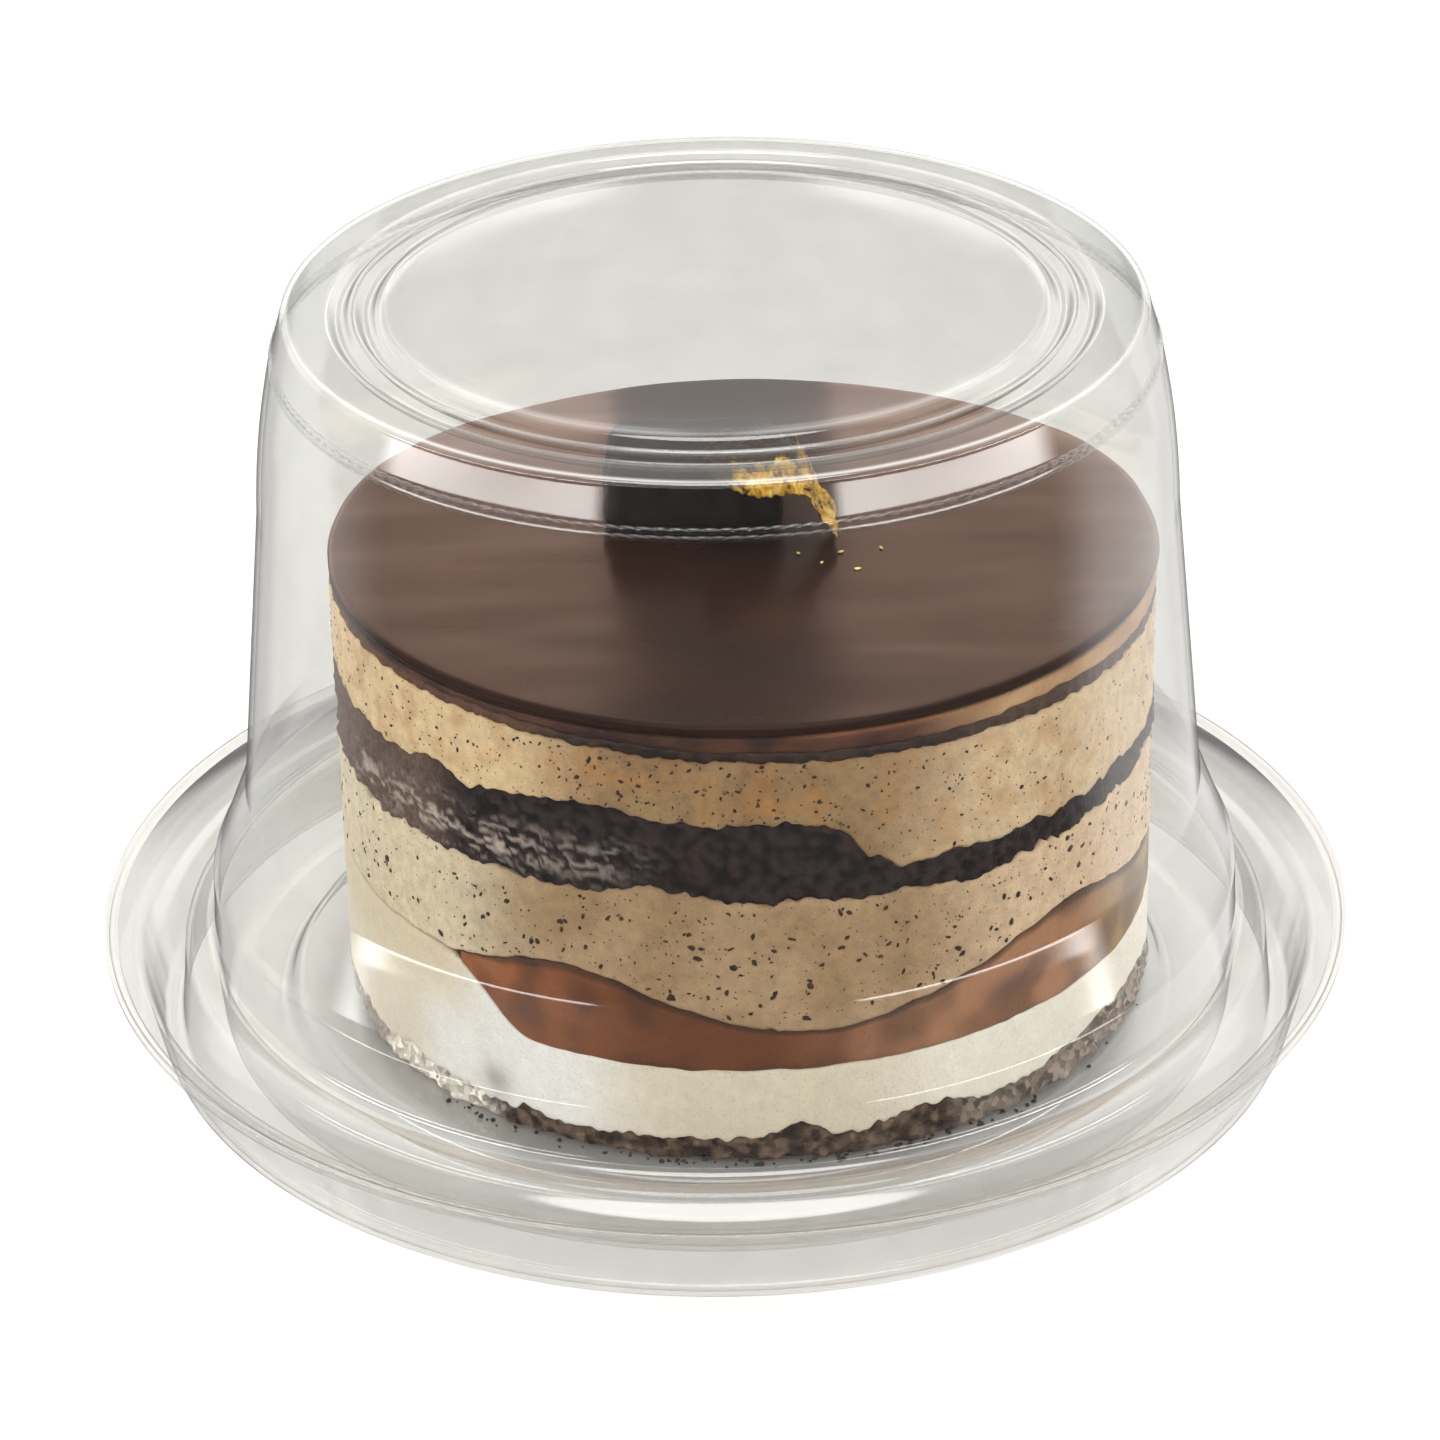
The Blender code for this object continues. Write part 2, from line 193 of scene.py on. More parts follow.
# Studio light by direction: radiances, and limits of the direction's height, of its share towards +Y
# (back) and of its share to either side (across)
FRONT_LIGHT = 0.06
FRONT_BOX_LIGHT = 7.4
FRONT_BOX_INNER = (0.46, 0.52)
FRONT_BOX_BACK = (0.05, -0.12)
FRONT_BOX_SLANT = 0.206
FRONT_BOX_FOOT = (0.10, 0.115)
FRONT_BOX_HEAD = (0.215, 0.20)
GROOVE_BOX_SLANT = 0.235
GROOVE_BOX_LIGHTS = (2.3, 16.5)
GROOVE_BOX_SIDE = (0.3, 0.75)
GROOVE_BOX_BACK = (0.1, -0.05)
GROOVE_BOX_FOOT = (0.50, 0.515)
GROOVE_BOX_HEAD = (0.57, 0.56)
SIDE_LIGHT = 1.15
SIDE_START = (-0.08, 0.3)
BELOW_SHARES = (0.6, 0.95)
BELOW_SIDE = (-0.3, 0.3)
BELOW_START = (0.0, -0.1)
BACK_LIGHT = 0.55
BACK_START = (0.88, 0.96)
LOW_BOX_LIGHT = 1.5
LOW_BOX_FOOT = (0.20, 0.24)
LOW_BOX_HEAD = (0.36, 0.33)
TOP_LIGHTS = (0.5, 1.1)
TOP_BACK = (-0.6, 0.3)
TOP_START = (0.45, 0.60)
TOP_BOX_LIGHT = 6.5
TOP_BOX_START = (0.95, 0.965)
PANEL_LIGHT = 1.9
PANEL_BACK = (0.6, 0.7)
PANEL_FOOT = (0.57, 0.61)
PANEL_HEAD = (0.92, 0.90)
PANEL_GAP = (0.02, 0.045)

# Panels for the glaze's sheen, in millimetres
SHEEN_SIZE = (160.0, 90.0)
SHEEN_GAP = 13.0
SHEEN_MIDDLE = 0.5
SHEEN_PLACE = (75.0, 100.0)
SHEEN_TURN = -90.0
SHEEN_POWER = 0.17
SHEEN_COLOUR = (1.0, 0.66, 0.50)

# Floor and camera, with the roll in radians and the focal length in the photo's pixels
FLOOR_RADIUS = 6000.0
CAMERA_PLACE = (0.0, -481.5, 290.9)
CAMERA_AIM = (-0.2, 0.0, 32.3)
CAMERA_ROLL = -0.0175
PHOTO_SIZE = 1440
FOCAL_PIXELS = 5130
SENSOR_WIDTH = 36.0


def linear(code):
    """A hex colour as linear light."""
    values = [int(code[i : i + 2], 16) / 255 for i in (0, 2, 4)]
    return tuple(v / 12.92 if v <= 0.04045 else ((v + 0.055) / 1.055) ** 2.4 for v in values)


def blend(low, high, share):
    return tuple(a + (b - a) * share for a, b in zip(low, high))


def bump(angle, centre, width):
    """A smooth rise of 1 at the centre angle."""
    away = (angle - centre + 180.0) % 360.0 - 180.0
    return exp(-((away / width) ** 2))


def waves(angle, rises):
    return sum(rise * bump(angle, centre, width) for rise, centre, width in rises)


def smooth(value):
    value = min(max(value, 0.0), 1.0)
    return value * value * (3.0 - 2.0 * value)


def onset(value, start, run):
    """A smooth rise from 0 at the start to 1 a run further on."""
    return smooth((value - start) / run)


def noise_at(x, y, z):
    return noise.noise(Vector((x, y, z)))


def turns(steps):
    return [2 * pi * i / steps for i in range(steps)]


def round_z(radius, turn, height):
    """The point at that radius and height, turned from the front round Z."""
    return radius * sin(turn), -radius * cos(turn), height


def crags(angle, pitch, seed):
    """Small ragged rises and falls round the edge, between about -1 and 1."""
    turn = radians(angle)
    return 1.6 * noise_at(pitch * cos(turn), pitch * sin(turn), seed)


# Node trees


class Tree:
    """The node tree of a material or world, built by short calls."""

    def __init__(self, owner):
        owner.use_nodes = True
        self.owner = owner
        self.nodes = owner.node_tree.nodes
        self.links = owner.node_tree.links
        self.nodes.clear()
        self.places = self.add("TexCoord").outputs

    def put(self, socket, value):
        if isinstance(value, bpy.types.NodeSocket):
            self.links.new(value, socket)
        elif isinstance(value, tuple) and len(value) == 3 and socket.type == "RGBA":
            socket.default_value = (*value, 1.0)
        else:
            socket.default_value = value

    def add(self, kind, inputs=None, **settings):
        node = self.nodes.new("ShaderNode" + kind)
        for key, value in settings.items():
            setattr(node, key, value)
        for key, value in (inputs or {}).items():
            self.put(node.inputs[key], value)
        return node

    def scaled(self, scale):
        """Object coordinates in units of 1/scale mm, with one number or three."""
        sizes = scale if isinstance(scale, tuple) else (scale, scale, scale)
        factors = tuple(size / MM for size in sizes)
        inputs = {"Vector": self.places["Object"], "Scale": factors}
        return self.add("Mapping", inputs).outputs[0]

    def noise(self, scale, detail=3.0, rough=0.55, twist=0.0):
        inputs = {"Vector": self.scaled(scale), "Scale": 1.0, "Detail": detail}
        inputs |= {"Roughness": rough, "Distortion": twist}
        return self.add("TexNoise", inputs).outputs["Fac"]

    def cells(self, scale, output="Distance"):
        return self.add("TexVoronoi", {"Vector": self.scaled(scale), "Scale": 1.0}).outputs[output]

    def math(self, kind, first, second=0.5):
        return self.add("Math", {0: first, 1: second}, operation=kind).outputs[0]

    def between(self, share, low, high):
        """A number that goes from low to high with the share."""
        return self.math("ADD", low, self.math("MULTIPLY", share, self.math("SUBTRACT", high, low)))

    def step(self, value, start, end):
        """A smooth rise from 0 at the start to 1 at the end, which may be the lower one."""
        inputs = {"Value": value, "From Min": start, "From Max": end}
        return self.add("MapRange", inputs, interpolation_type="SMOOTHSTEP").outputs[0]

    def region(self, *limits):
        """How far a direction is inside all of the limits, each (value, (start, end))."""
        share = 1.0
        for value, ends in limits:
            share = self.math("MULTIPLY", share, self.step(value, *ends))
        return share

    def ramp(self, share, *stops):
        """Colour or grey stops, each (place, colour or number)."""
        node = self.add("ValToRGB", {"Fac": share})
        elements = node.color_ramp.elements
        while len(elements) < len(stops):
            elements.new(0.5)
        for element, (place, colour) in zip(elements, stops):
            element.position = place
            element.color = (*colour, 1.0) if isinstance(colour, tuple) else (colour,) * 3 + (1.0,)
        return node.outputs["Color"]

    def mix(self, share, first, second, kind="MIX"):
        """Two colours, mixed."""
        inputs = {0: share, 6: first, 7: second}
        return self.add("Mix", inputs, data_type="RGBA", blend_type=kind).outputs[2]

    def mixed(self, share, first, second):
        """Two shaders, mixed."""
        return self.add("MixShader", {0: share, 1: first, 2: second}).outputs[0]

    def relief(self, height, distance, under=None):
        """A bump of that many millimetres."""
        inputs = {"Height": height, "Distance": distance * MM}
        if under:
            inputs["Normal"] = under
        return self.add("Bump", inputs).outputs["Normal"]

    def surface(self, **inputs):
        """A Principled surface as the tree's output. Words in the names are joined by _."""
        names = {key.replace("_", " "): value for key, value in inputs.items()}
        shader = self.add("BsdfPrincipled", names)
        return self.shown(shader.outputs[0])

    def shown(self, shader):
        self.add("OutputMaterial", {"Surface": shader})
        return self.owner


def material_tree(name):
    return Tree(bpy.data.materials.new(name))


# Meshes


def linked(obj):
    bpy.context.scene.collection.objects.link(obj)
    return obj


def mesh_object(name, points, faces, material, slot, *nodes, paint=None, smooth_faces=True):
    """A piece from points in millimetres, riding on the part and standing for the CAD nodes named."""
    mesh = bpy.data.meshes.new(name)
    mesh.from_pydata([tuple(point) for point in np.asarray(points) * MM], [], faces)
    mesh.validate()
    if smooth_faces:
        mesh.shade_smooth()
    if paint is not None:
        layer = mesh.color_attributes.new("paint", "FLOAT_COLOR", "POINT")
        colours = np.ones((len(points), 4), np.float32)
        colours[:, :3] = paint
        layer.data.foreach_set("color", colours.ravel())
    mesh.materials.append(material)
    obj = linked(bpy.data.objects.new(name, mesh))
    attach(obj, "root")
    if nodes:
        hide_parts(*nodes)
    return obj


def read_out(sculpt):
    """The points and faces of a bmesh, which is freed."""
    sculpt.verts.index_update()
    points = [vertex.co.copy() for vertex in sculpt.verts]
    faces = [tuple(vertex.index for vertex in face.verts) for face in sculpt.faces]
    sculpt.free()
    return points, faces


def lathe_faces(rings, steps):
    """Faces over rings of steps points, between a pole before the first and one after the last."""
    faces = []
    last = 1 + (rings - 1) * steps
    for i in range(steps):
        after = (i + 1) % steps
        for start in range(1, last, steps):
            faces.append((start + i, start + steps + i, start + steps + after, start + after))
        faces.append((0, 1 + i, 1 + after))
        faces.append((last + steps, last + after, last + i))
    return faces


# Clear pack


def fillet_cut(corner):
    """How far from a corner its rounding starts: the flare's corners are the sharper ones."""
    low, high = FLARE_HEIGHTS
    return FLARE_FILLET if low < corner.y < high else FILLET


def filleted(corners, count=3):
    """The line through the corners with each inner corner rounded off.

    A guard point beside each rounding keeps the long runs flat when the sheet is shaded smooth.
    """
    points = [Vector(corners[0])]
    for before, corner, after in zip(corners, corners[1:], corners[2:]):
        before, corner, after = Vector(before), Vector(corner), Vector(after)
        back = before - corner
        ahead = after - corner
        cut = min(fillet_cut(corner), 0.49 * back.length, 0.49 * ahead.length)
        start = corner + back.normalized() * cut
        end = corner + ahead.normalized() * cut
        if 0.5 * back.length > cut + 2.0 * GUARD:
            points.append(corner + back.normalized() * (cut + GUARD))
        for i in range(count + 1):
            share = i / count
            points.append(start * (1 - share) ** 2 + corner * (2 * share * (1 - share)) + end * share**2)
        if 0.5 * ahead.length > cut + 2.0 * GUARD:
            points.append(corner + ahead.normalized() * (cut + GUARD))
    points.append(Vector(corners[-1]))
    return points


def under_side(profile):
    """The other side of a sheet: each point of the profile moved in by the sheet's thickness."""
    runs = [(after - before).normalized() for before, after in zip(profile, profile[1:])]
    normals = [Vector((run.y, -run.x)) for run in runs]
    moved = [profile[0] + normals[0] * SHEET]
    for corner, before, after in zip(profile[1:-1], normals, normals[1:]):
        moved.append(corner + (before + after) * SHEET / (1.0 + before.dot(after)))
    moved.append(profile[-1] + normals[-1] * SHEET)
    return moved


def tray_profile():
    """Upper side of the tray: platform, channel, well wall, foot groove, flange and upturned rim."""
    inner = FOOT_OUTER - FOOT_WIDTH
    outer = FOOT_OUTER - CORNER * SHEET
    edge = FLANGE_RADIUS - SHEET
    return [
        (0.0, PLATFORM_TOP),
        (PLATFORM_RADIUS - CORNER, PLATFORM_TOP),
        (PLATFORM_RADIUS, PLATFORM_TOP - CORNER),
        (PLATFORM_RADIUS + CORNER, CHANNEL_FLOOR + CORNER),
        (PLATFORM_RADIUS + 2 * CORNER, CHANNEL_FLOOR),
        (WELL_RADIUS - 2 * CORNER, CHANNEL_FLOOR),
        (WELL_RADIUS - CORNER, CHANNEL_FLOOR + CORNER),
        (WELL_RADIUS, FLANGE_TOP - CORNER),
        (WELL_RADIUS + CORNER, FLANGE_TOP),
        (inner - 2 * CORNER, FLANGE_TOP),
        (inner - CORNER, FLANGE_TOP - CORNER),
        (inner, SHEET),
        (outer, SHEET),
        (outer + FOOT_DRAFT, FLANGE_TOP - CORNER),
        (outer + FOOT_DRAFT + CORNER, FLANGE_TOP),
        (edge - CORNER, FLANGE_TOP),
        (edge, FLANGE_TOP + 0.5 * CORNER),
        (edge, RIM_TOP),
    ]


def shoulder(start, end):
    """Points of a rounded shoulder from start down to end, both left out."""
    points = []
    for i in range(1, SHOULDER_POINTS + 1):
        turn = 0.5 * pi * i / (SHOULDER_POINTS + 1)
        radius = start[0] + (end[0] - start[0]) * sin(turn) ** (2 / SHOULDER_FULLNESS)
        height = end[1] + (start[1] - end[1]) * cos(turn) ** (2 / SHOULDER_FULLNESS)
        points.append((radius, height))
    return points


def lid_profile():
    """Outer side of the dome lid, from the middle of its top to the edge of its flange."""
    points = [(0.0, PACK_HEIGHT)]
    for i in range(DISC_POINTS + 1):
        share = i / DISC_POINTS
        radius = DISC_FLAT + share * (DISC_RADIUS - DISC_FLAT)
        points.append((radius, PACK_HEIGHT - DISC_DROOP * share**2))
    for inner, outer in RING_GROOVES:
        points += [
            (inner - GROOVE_SLOPE, CROWN_TOP),
            (inner, CROWN_TOP - GROOVE_DEPTH),
            (outer - GROOVE_SLOPE, CROWN_TOP - GROOVE_DEPTH),
            (outer, CROWN_TOP),
        ]
    points += [(CROWN_RADIUS - CORNER, CROWN_TOP), (CROWN_RADIUS, CROWN_TOP - 0.25 * CORNER)]
    proud, half = CREASE_BEAD
    points += [
        (CREASE[0], CREASE[1] + half),
        (CREASE[0] + proud, CREASE[1]),
        (CREASE[0] + CREASE_STEP, CREASE[1] - half),
    ]
    below = shoulder((CREASE[0], CREASE[1] - half), WALL_HEAD)[2:]
    points += [*below, WALL_HEAD, WALL_FOOT, *FLARE, COLLAR_HEAD]
    points += [
        (COLLAR_FOOT_RADIUS, LID_FLANGE_TOP + CORNER),
        (COLLAR_FOOT_RADIUS + CORNER, LID_FLANGE_TOP),
        (LID_RIM_RADIUS, LID_FLANGE_TOP),
    ]
    return points


def sheet_piece(name, corners, steps, material, node, flute=None):
    """A clear formed sheet turned round Z, closed in itself. flute gives how far a point is pressed in."""
    upper = filleted(corners)
    section = upper + under_side(upper)[::-1]
    rings = section[1:-1]
    points = [(0.0, 0.0, section[0].y)]
    for place in rings:
        for turn in turns(steps):
            radius = place.x - (flute(turn, place) if flute else 0.0)
            points.append(round_z(radius, turn, place.y))
    points.append((0.0, 0.0, section[-1].y))
    faces = lathe_faces(len(rings), steps)
    return mesh_object(name, points, faces, material, "clear_plastic", node)


def foot_flute(turn, place):
    """The short upright ribs on the outer wall of the tray's foot groove."""
    if not FOOT_OUTER - 1.0 < place.x < FOOT_OUTER + FOOT_DRAFT + CORNER:
        return 0.0
    window = smooth((place.y - 1.0) / 1.5) * smooth((FLANGE_TOP - 1.2 - place.y) / 1.5)
    return FLUTE_DEPTH * window * max(0.0, cos(FLUTES * turn)) ** 2


def bend_highlight_haze(tree, haze):
    """The sheet's haze, with rings of white film round Z where the lid's top is bent sharply: painted
    highlight lines along the bends.
    """
    place = tree.add("SeparateXYZ", {0: tree.scaled(1.0 / BEND_LIMIT)}).outputs
    squares = [tree.math("MULTIPLY", place[axis], place[axis]) for axis in ("X", "Y")]
    radius = tree.math("SQRT", tree.math("ADD", *squares))
    stops = [(0.0, haze)]
    for bend, white in BEND_HIGHLIGHTS:
        sides = ((bend - BEND_WIDTH, haze), (bend, white), (bend + BEND_WIDTH, haze))
        stops += [(side / BEND_LIMIT, value) for side, value in sides]
    return tree.ramp(radius, *stops)


def clear_plastic(name, clear_tint, haze, shine, bends=False):
    """Thin clear sheet: tinted and see-through, with more mirroring and a dark edge at grazing angles.

    Only camera rays meet it, so that the studio light reaches the cake and the floor unweakened.
    """
    tree = material_tree(name)
    ripples = tree.relief(tree.noise(0.05, 1.0, 0.4), 0.03)
    fresnel = tree.add("Fresnel", {"IOR": 1.5, "Normal": ripples}).outputs[0]
    both = tree.math("DIVIDE", tree.math("MULTIPLY", fresnel, 2.0), tree.math("ADD", fresnel, 1.0))
    facing = tree.add("LayerWeight", {"Blend": 0.5}).outputs["Facing"]
    tint = tree.ramp(facing, (0.0, clear_tint), (0.62, clear_tint), (0.98, EDGE_TINT))
    cloud = tree.ramp(tree.noise(0.11, 2.0, 0.6), (0.35, 1.0), (0.7, CLOUD))
    cloudy = tree.mix(1.0, tint, cloud, "MULTIPLY")
    clear = tree.add("BsdfTransparent", {"Color": cloudy}).outputs[0]
    film = tree.add("BsdfDiffuse", {"Color": linear("F6F5F1")}).outputs[0]
    # On the lid, the rings of white film at its bends are painted highlight lines
    share = bend_highlight_haze(tree, haze) if bends else haze
    milky = tree.mixed(share, clear, film)
    mirror = tree.ramp(facing, (0.86, shine), (0.96, 0.4 * shine))
    gloss = tree.add("BsdfGlossy", {"Color": mirror, "Roughness": 0.09, "Normal": ripples}).outputs[0]
    front = tree.mixed(both, milky, gloss)
    through = tree.add("BsdfTransparent", {"Color": (1.0, 1.0, 1.0)}).outputs[0]
    behind = tree.add("NewGeometry").outputs["Backfacing"]
    seen = tree.mixed(behind, front, through)
    camera_ray = tree.add("LightPath").outputs["Is Camera Ray"]
    return tree.shown(tree.mixed(camera_ray, through, seen))


def crease_beads(plastic):
    """Two rows of small beads round the lid's crease, set half a bead apart."""
    steps, sides = BEAD_STEPS * BEADS, BEAD_SIDES
    thin, thick = BEAD_SIZE
    points, faces = [], []
    for row, height in enumerate(BEAD_ROWS):
        start = len(points)
        for turn in turns(steps):
            swell = abs(sin(0.5 * BEADS * turn + 0.5 * pi * row)) ** BEAD_BLUNTNESS
            size = thin + (thick - thin) * swell
            for around in turns(sides):
                radius = CREASE[0] + size * cos(around)
                points.append(round_z(radius, turn, height + size * sin(around)))
        for i in range(steps):
            here, after = start + i * sides, start + (i + 1) % steps * sides
            for j in range(sides):
                k = (j + 1) % sides
                faces.append((here + j, after + j, after + k, here + k))
    return mesh_object("crease_beads", points, faces, plastic, "clear_plastic", "dome_lid")


def build_pack():
    tray_plastic = clear_plastic("tray_plastic", TRAY_TINT, TRAY_HAZE, TRAY_SHINE)
    lid_plastic = clear_plastic("lid_plastic", LID_TINT, LID_HAZE, LID_SHINE, bends=True)
    pieces = (
        sheet_piece("tray_shell", tray_profile(), TRAY_STEPS, tray_plastic, "tray", foot_flute),
        sheet_piece("lid_shell", lid_profile(), LID_STEPS, lid_plastic, "dome_lid"),
        crease_beads(lid_plastic),
    )
    for piece in pieces:
        piece.visible_diffuse = False
        piece.visible_glossy = False
        piece.visible_shadow = False


# Heights of the faces between the cake's layers


def wavy(mean, rises, rag, pitch, seed):
    """A face that is flat in the middle, with waves and small ragged rises towards its edge."""
    return lambda angle, reach: mean + reach**2 * (waves(angle, rises) + rag * crags(angle, pitch, seed))


crumb_top = wavy(CRUMB_TOP, CRUMB_WAVES, 0.5, 6.0, 1.0)
sponge_foot = wavy(SPONGE_FOOT, SPONGE_FOOT_WAVES, 0.4, 5.0, 2.0)


def white_top(angle, reach):
    """Flat, and risen on the left, where the milk chocolate layer thins out."""
    across = CAKE_RADIUS * reach * sin(radians(angle)) - PINCH_X
    return MILK_FOOT + (MILK_PINCH_HEIGHT - MILK_FOOT) * (1.0 - onset(across, 0.0, PINCH_RUN))


def milk_top(angle, reach):
    return max(MILK_TOP + reach**2 * waves(angle, MILK_WAVES), white_top(angle, reach))


def sponge_top(angle, reach):
    """High on the left, with a step down to a thin band on the right."""
    step = 0.5 - onset(angle, 8.0, 12.0) + onset(angle, 120.0, 60.0)
    rise = SPONGE_STEP * step + waves(angle, SPONGE_TOP_WAVES) + 0.5 * crags(angle, 5.0, 3.0)
    return SPONGE_TOP + reach**2 * rise


def ganache_foot(angle, reach):
    """Tilted down towards the right."""
    tilt = reach * GANACHE_TILT * sin(radians(angle))
    return GANACHE_FOOT - tilt + 0.15 * reach**2 * crags(angle, 4.0, 4.0)


def ganache_top(angle, reach):
    thick = GANACHE_THICKNESS + reach**2 * waves(angle, GANACHE_WAVES)
    return min(ganache_foot(angle, reach) + thick, GLAZE_FOOT - 0.4)


def sag(y):
    """How far the cake's top has sunk towards its back."""
    return BACK_SAG * onset(y, BACK_SAG_START, CAKE_RADIUS - BACK_SAG_START)


def sagged(face):
    return lambda angle, reach: face(angle, reach) - sag(-CAKE_RADIUS * reach * cos(radians(angle)))


def flat(height):
    return lambda angle, reach: height


def frayed(face, depth, pitch, seed):
    """The face with a finer ragged edge at the cake's side."""

    def height(angle, reach):
        fray = crags(angle, pitch, seed) + 0.6 * crags(angle, 2.3 * pitch, seed + 5.0)
        return face(angle, reach) + depth * fray * reach**4

    return height


# Relief of the layers' sides, in millimetres outwards


def side_point(angle, height):
    return Vector(round_z(CAKE_RADIUS, radians(angle), height))


def pits(place, pitch, share, seed):
    """Round holes about pitch apart, from 0 to 1 deep, in that share of the cells."""
    distances, cells = noise.voronoi(place / pitch + Vector((seed, 0.0, 0.0)))
    chance = noise.cell(cells[0] * 7.3 + Vector((seed, 3.1, 1.7)))
    size = 0.55 * min(max(share + 0.5 * chance, 0.0), 1.0)
    return max(0.0, 1.0 - distances[0] / size) ** 0.7 if size > 0.05 else 0.0


def side_relief(swells, holes=(), offset=0.0):
    """Relief from swells, each (rise, pitch), and holes, each (depth, *what pits takes)."""

    def outward(angle, height):
        place = side_point(angle, height)
        total = sum(rise * noise.noise(place * pitch) for rise, pitch in swells)
        return total - sum(depth * pits(place, *hole) for depth, *hole in holes) + offset

    return outward


mousse_relief = side_relief(
    ((0.22, 0.12), (0.10, 0.45), (0.05, 1.7)), ((0.30, 2.2, 0.15, 1.0), (0.16, 1.0, 0.25, 4.0))
)
smooth_relief = side_relief(((0.18, 0.10), (0.07, 0.5)), ((0.18, 2.6, 0.0, 9.0),))
sponge_relief = side_relief(((0.45, 0.35), (0.35, 0.9), (0.22, 2.1)), ((0.55, 1.7, 0.35, 2.0),), -0.1)
ganache_relief = side_relief(((0.35, 0.8), (0.2, 2.4)), offset=-0.05)


def crumb_relief(angle, height):
    place = side_point(angle, height)
    lumps = 0.9 - 1.5 * noise.voronoi(place / 1.5)[0][0]
    return 0.55 * lumps + 0.45 * noise.noise(place * 0.5) + 0.2 * noise.noise(place * 2.2) - 0.25


# Colour of the layers' sides, by the angle, the height and the share of the way up the layer


def spotted(angle, height, spots):
    """How near a point of the side is to the spots, whose sizes are in millimetres, from 0 to about 1."""
    total = 0.0
    for centre, level, wide, tall in spots:
        across = (angle - centre) * pi / 180 * CAKE_RADIUS / wide
        total += exp(-(across**2) - ((height - level) / tall) ** 2)
    return total


def mottled(place, low, high, pitch, gain=1.0):
    """Two hex colours in soft patches."""
    return blend(linear(low), linear(high), smooth(0.5 + gain * noise.noise(place * pitch)))


def tinted(colour, code, share):
    return blend(colour, linear(code), share)


def side_tinted(colour, angle, tints):
    for code, strength, side, start, run in tints:
        colour = tinted(colour, code, strength * onset(side * angle, start, run))
    return colour


def folded(angle):
    """The angle on the front half that a point takes its colours from, so that none has a seam behind."""
    return angle if abs(angle) <= 90.0 else copysign(180.0 - abs(angle), angle)


def upper_mousse_colour(angle, height, share):
    place = side_point(angle, height)
    colour = side_tinted(mottled(place, "957350", "A5875D", 0.18), angle, UPPER_MOUSSE_PAINTED_SIDE_LIGHT)
    warm = spotted(angle, height, WARM_SPOTS)
    warm += 0.6 * smooth(0.1 + 2.0 * noise.noise(place * 0.35 + Vector((4.0, 0.0, 0.0))))
    return tinted(colour, "BE8244", min(0.45 * warm, 0.8))


def lower_mousse_colour(angle, height, share):
    colour = mottled(side_point(angle, height), "A98A64", "BC9E79", 0.15)
    return side_tinted(colour, angle, LOWER_MOUSSE_PAINTED_SIDE_LIGHT)


def cap_colour(angle, height, share):
    """Brown at the front and on the left, pale on the right, with a painted highlight line along the top
    of the brown.
    """
    place = side_point(angle, height)
    pale = mottled(place, "B58A62", "CBA478", 0.25)
    brown = mottled(place, "3A211A", "5E3725", 0.3)
    # Painted highlight: a thin orange line along the cap's top edge, under the glaze, from the front
    # towards the right
    brown = tinted(brown, "C07A44", 0.6 * onset(share, 0.75, 0.2) * onset(angle, 2.0, 10.0))
    return blend(brown, pale, onset(angle, 20.0, 18.0))


def sponge_colour(angle, height, share):
    """Dark purple-brown, with grey and cream streaks smeared along its lower half on the left."""
    place = side_point(angle, height)
    colour = mottled(place, "1B1314", "382A28", 0.9, 1.2)
    colour = tinted(colour, "806A5E", 0.7 * onset(-angle, 40.0, 12.0))
    where = onset(-angle, 10.0, 12.0) * onset(angle, -74.0, 10.0)
    band = exp(-(((share - 0.34) / 0.26) ** 2))
    streaks = noise_at(place.x * 0.3, place.y * 0.3, place.z * 2.2)
    streaks += 0.7 * noise_at(place.x * 0.9, place.y * 0.9, place.z * 4.6)
    smear = onset(streaks, -0.02, 0.4) * where * band
    return tinted(colour, "C8B8AC", (0.55 + 0.35 * onset(-angle, 24.0, 12.0)) * smear)


def milk_colour(angle, height, share):
    place = side_point(angle, height)
    colour = side_tinted(linear("A5643A"), angle, MILK_TINTS)
    colour = tinted(colour, "4A2C1A", 0.55 * smooth(0.35 + 1.4 * noise.noise(place * 0.24)))
    colour = tinted(colour, "6B4A45", min(0.6 * spotted(angle, height, MAUVE_SPOTS), 0.7))
    return tinted(colour, "2E1C14", 0.85 * onset(share, 0.88, 0.10))


def white_colour(angle, height, share):
    """White, and cream at the far left, where the layer rises over the thinned milk chocolate one."""
    colour = mottled(side_point(angle, height), "E4D8C0", "ECE1CC", 0.12)
    colour = side_tinted(colour, angle, WHITE_PAINTED_SIDE_LIGHT)
    fade = onset(-angle, 36.0, 12.0) * onset(height, 12.0, 9.0)
    far = 0.6 * (1.0 - fade) * onset(-angle, 46.0, 10.0)
    colour = tinted(colour, "E4D3B0", 0.9 * fade + far)
    return tinted(colour, "A79E9A", 0.75 * spotted(angle, height, GREY_SPOTS))


def crumb_colour(angle, height, share):
    """Dark biscuit, smeared over with white mousse on the left and paler towards both sides."""
    place = side_point(angle, height)
    colour = mottled(place, "3A2E27", "6E5B4C", 0.8, 1.3)
    grey = 0.5 * onset(angle, 26.0, 8.0) + 0.3 * onset(angle, 44.0, 8.0) + 0.8 * onset(-angle, 58.0, 5.0)
    colour = tinted(colour, "A89C90", min(grey, 1.0))
    smear = onset(angle, -65.0, 4.0) * onset(3.0 * noise.noise(place * 0.5) - angle, 36.0, 4.0)
    return tinted(colour, "F1EADD", 0.95 * smear)


def ganache_colour(angle, height, share):
    colour = mottled(side_point(angle, height), "241511", "452B20", 0.7)
    return side_tinted(colour, angle, GANACHE_TINTS)


def full_round(angle):
    return 1.0


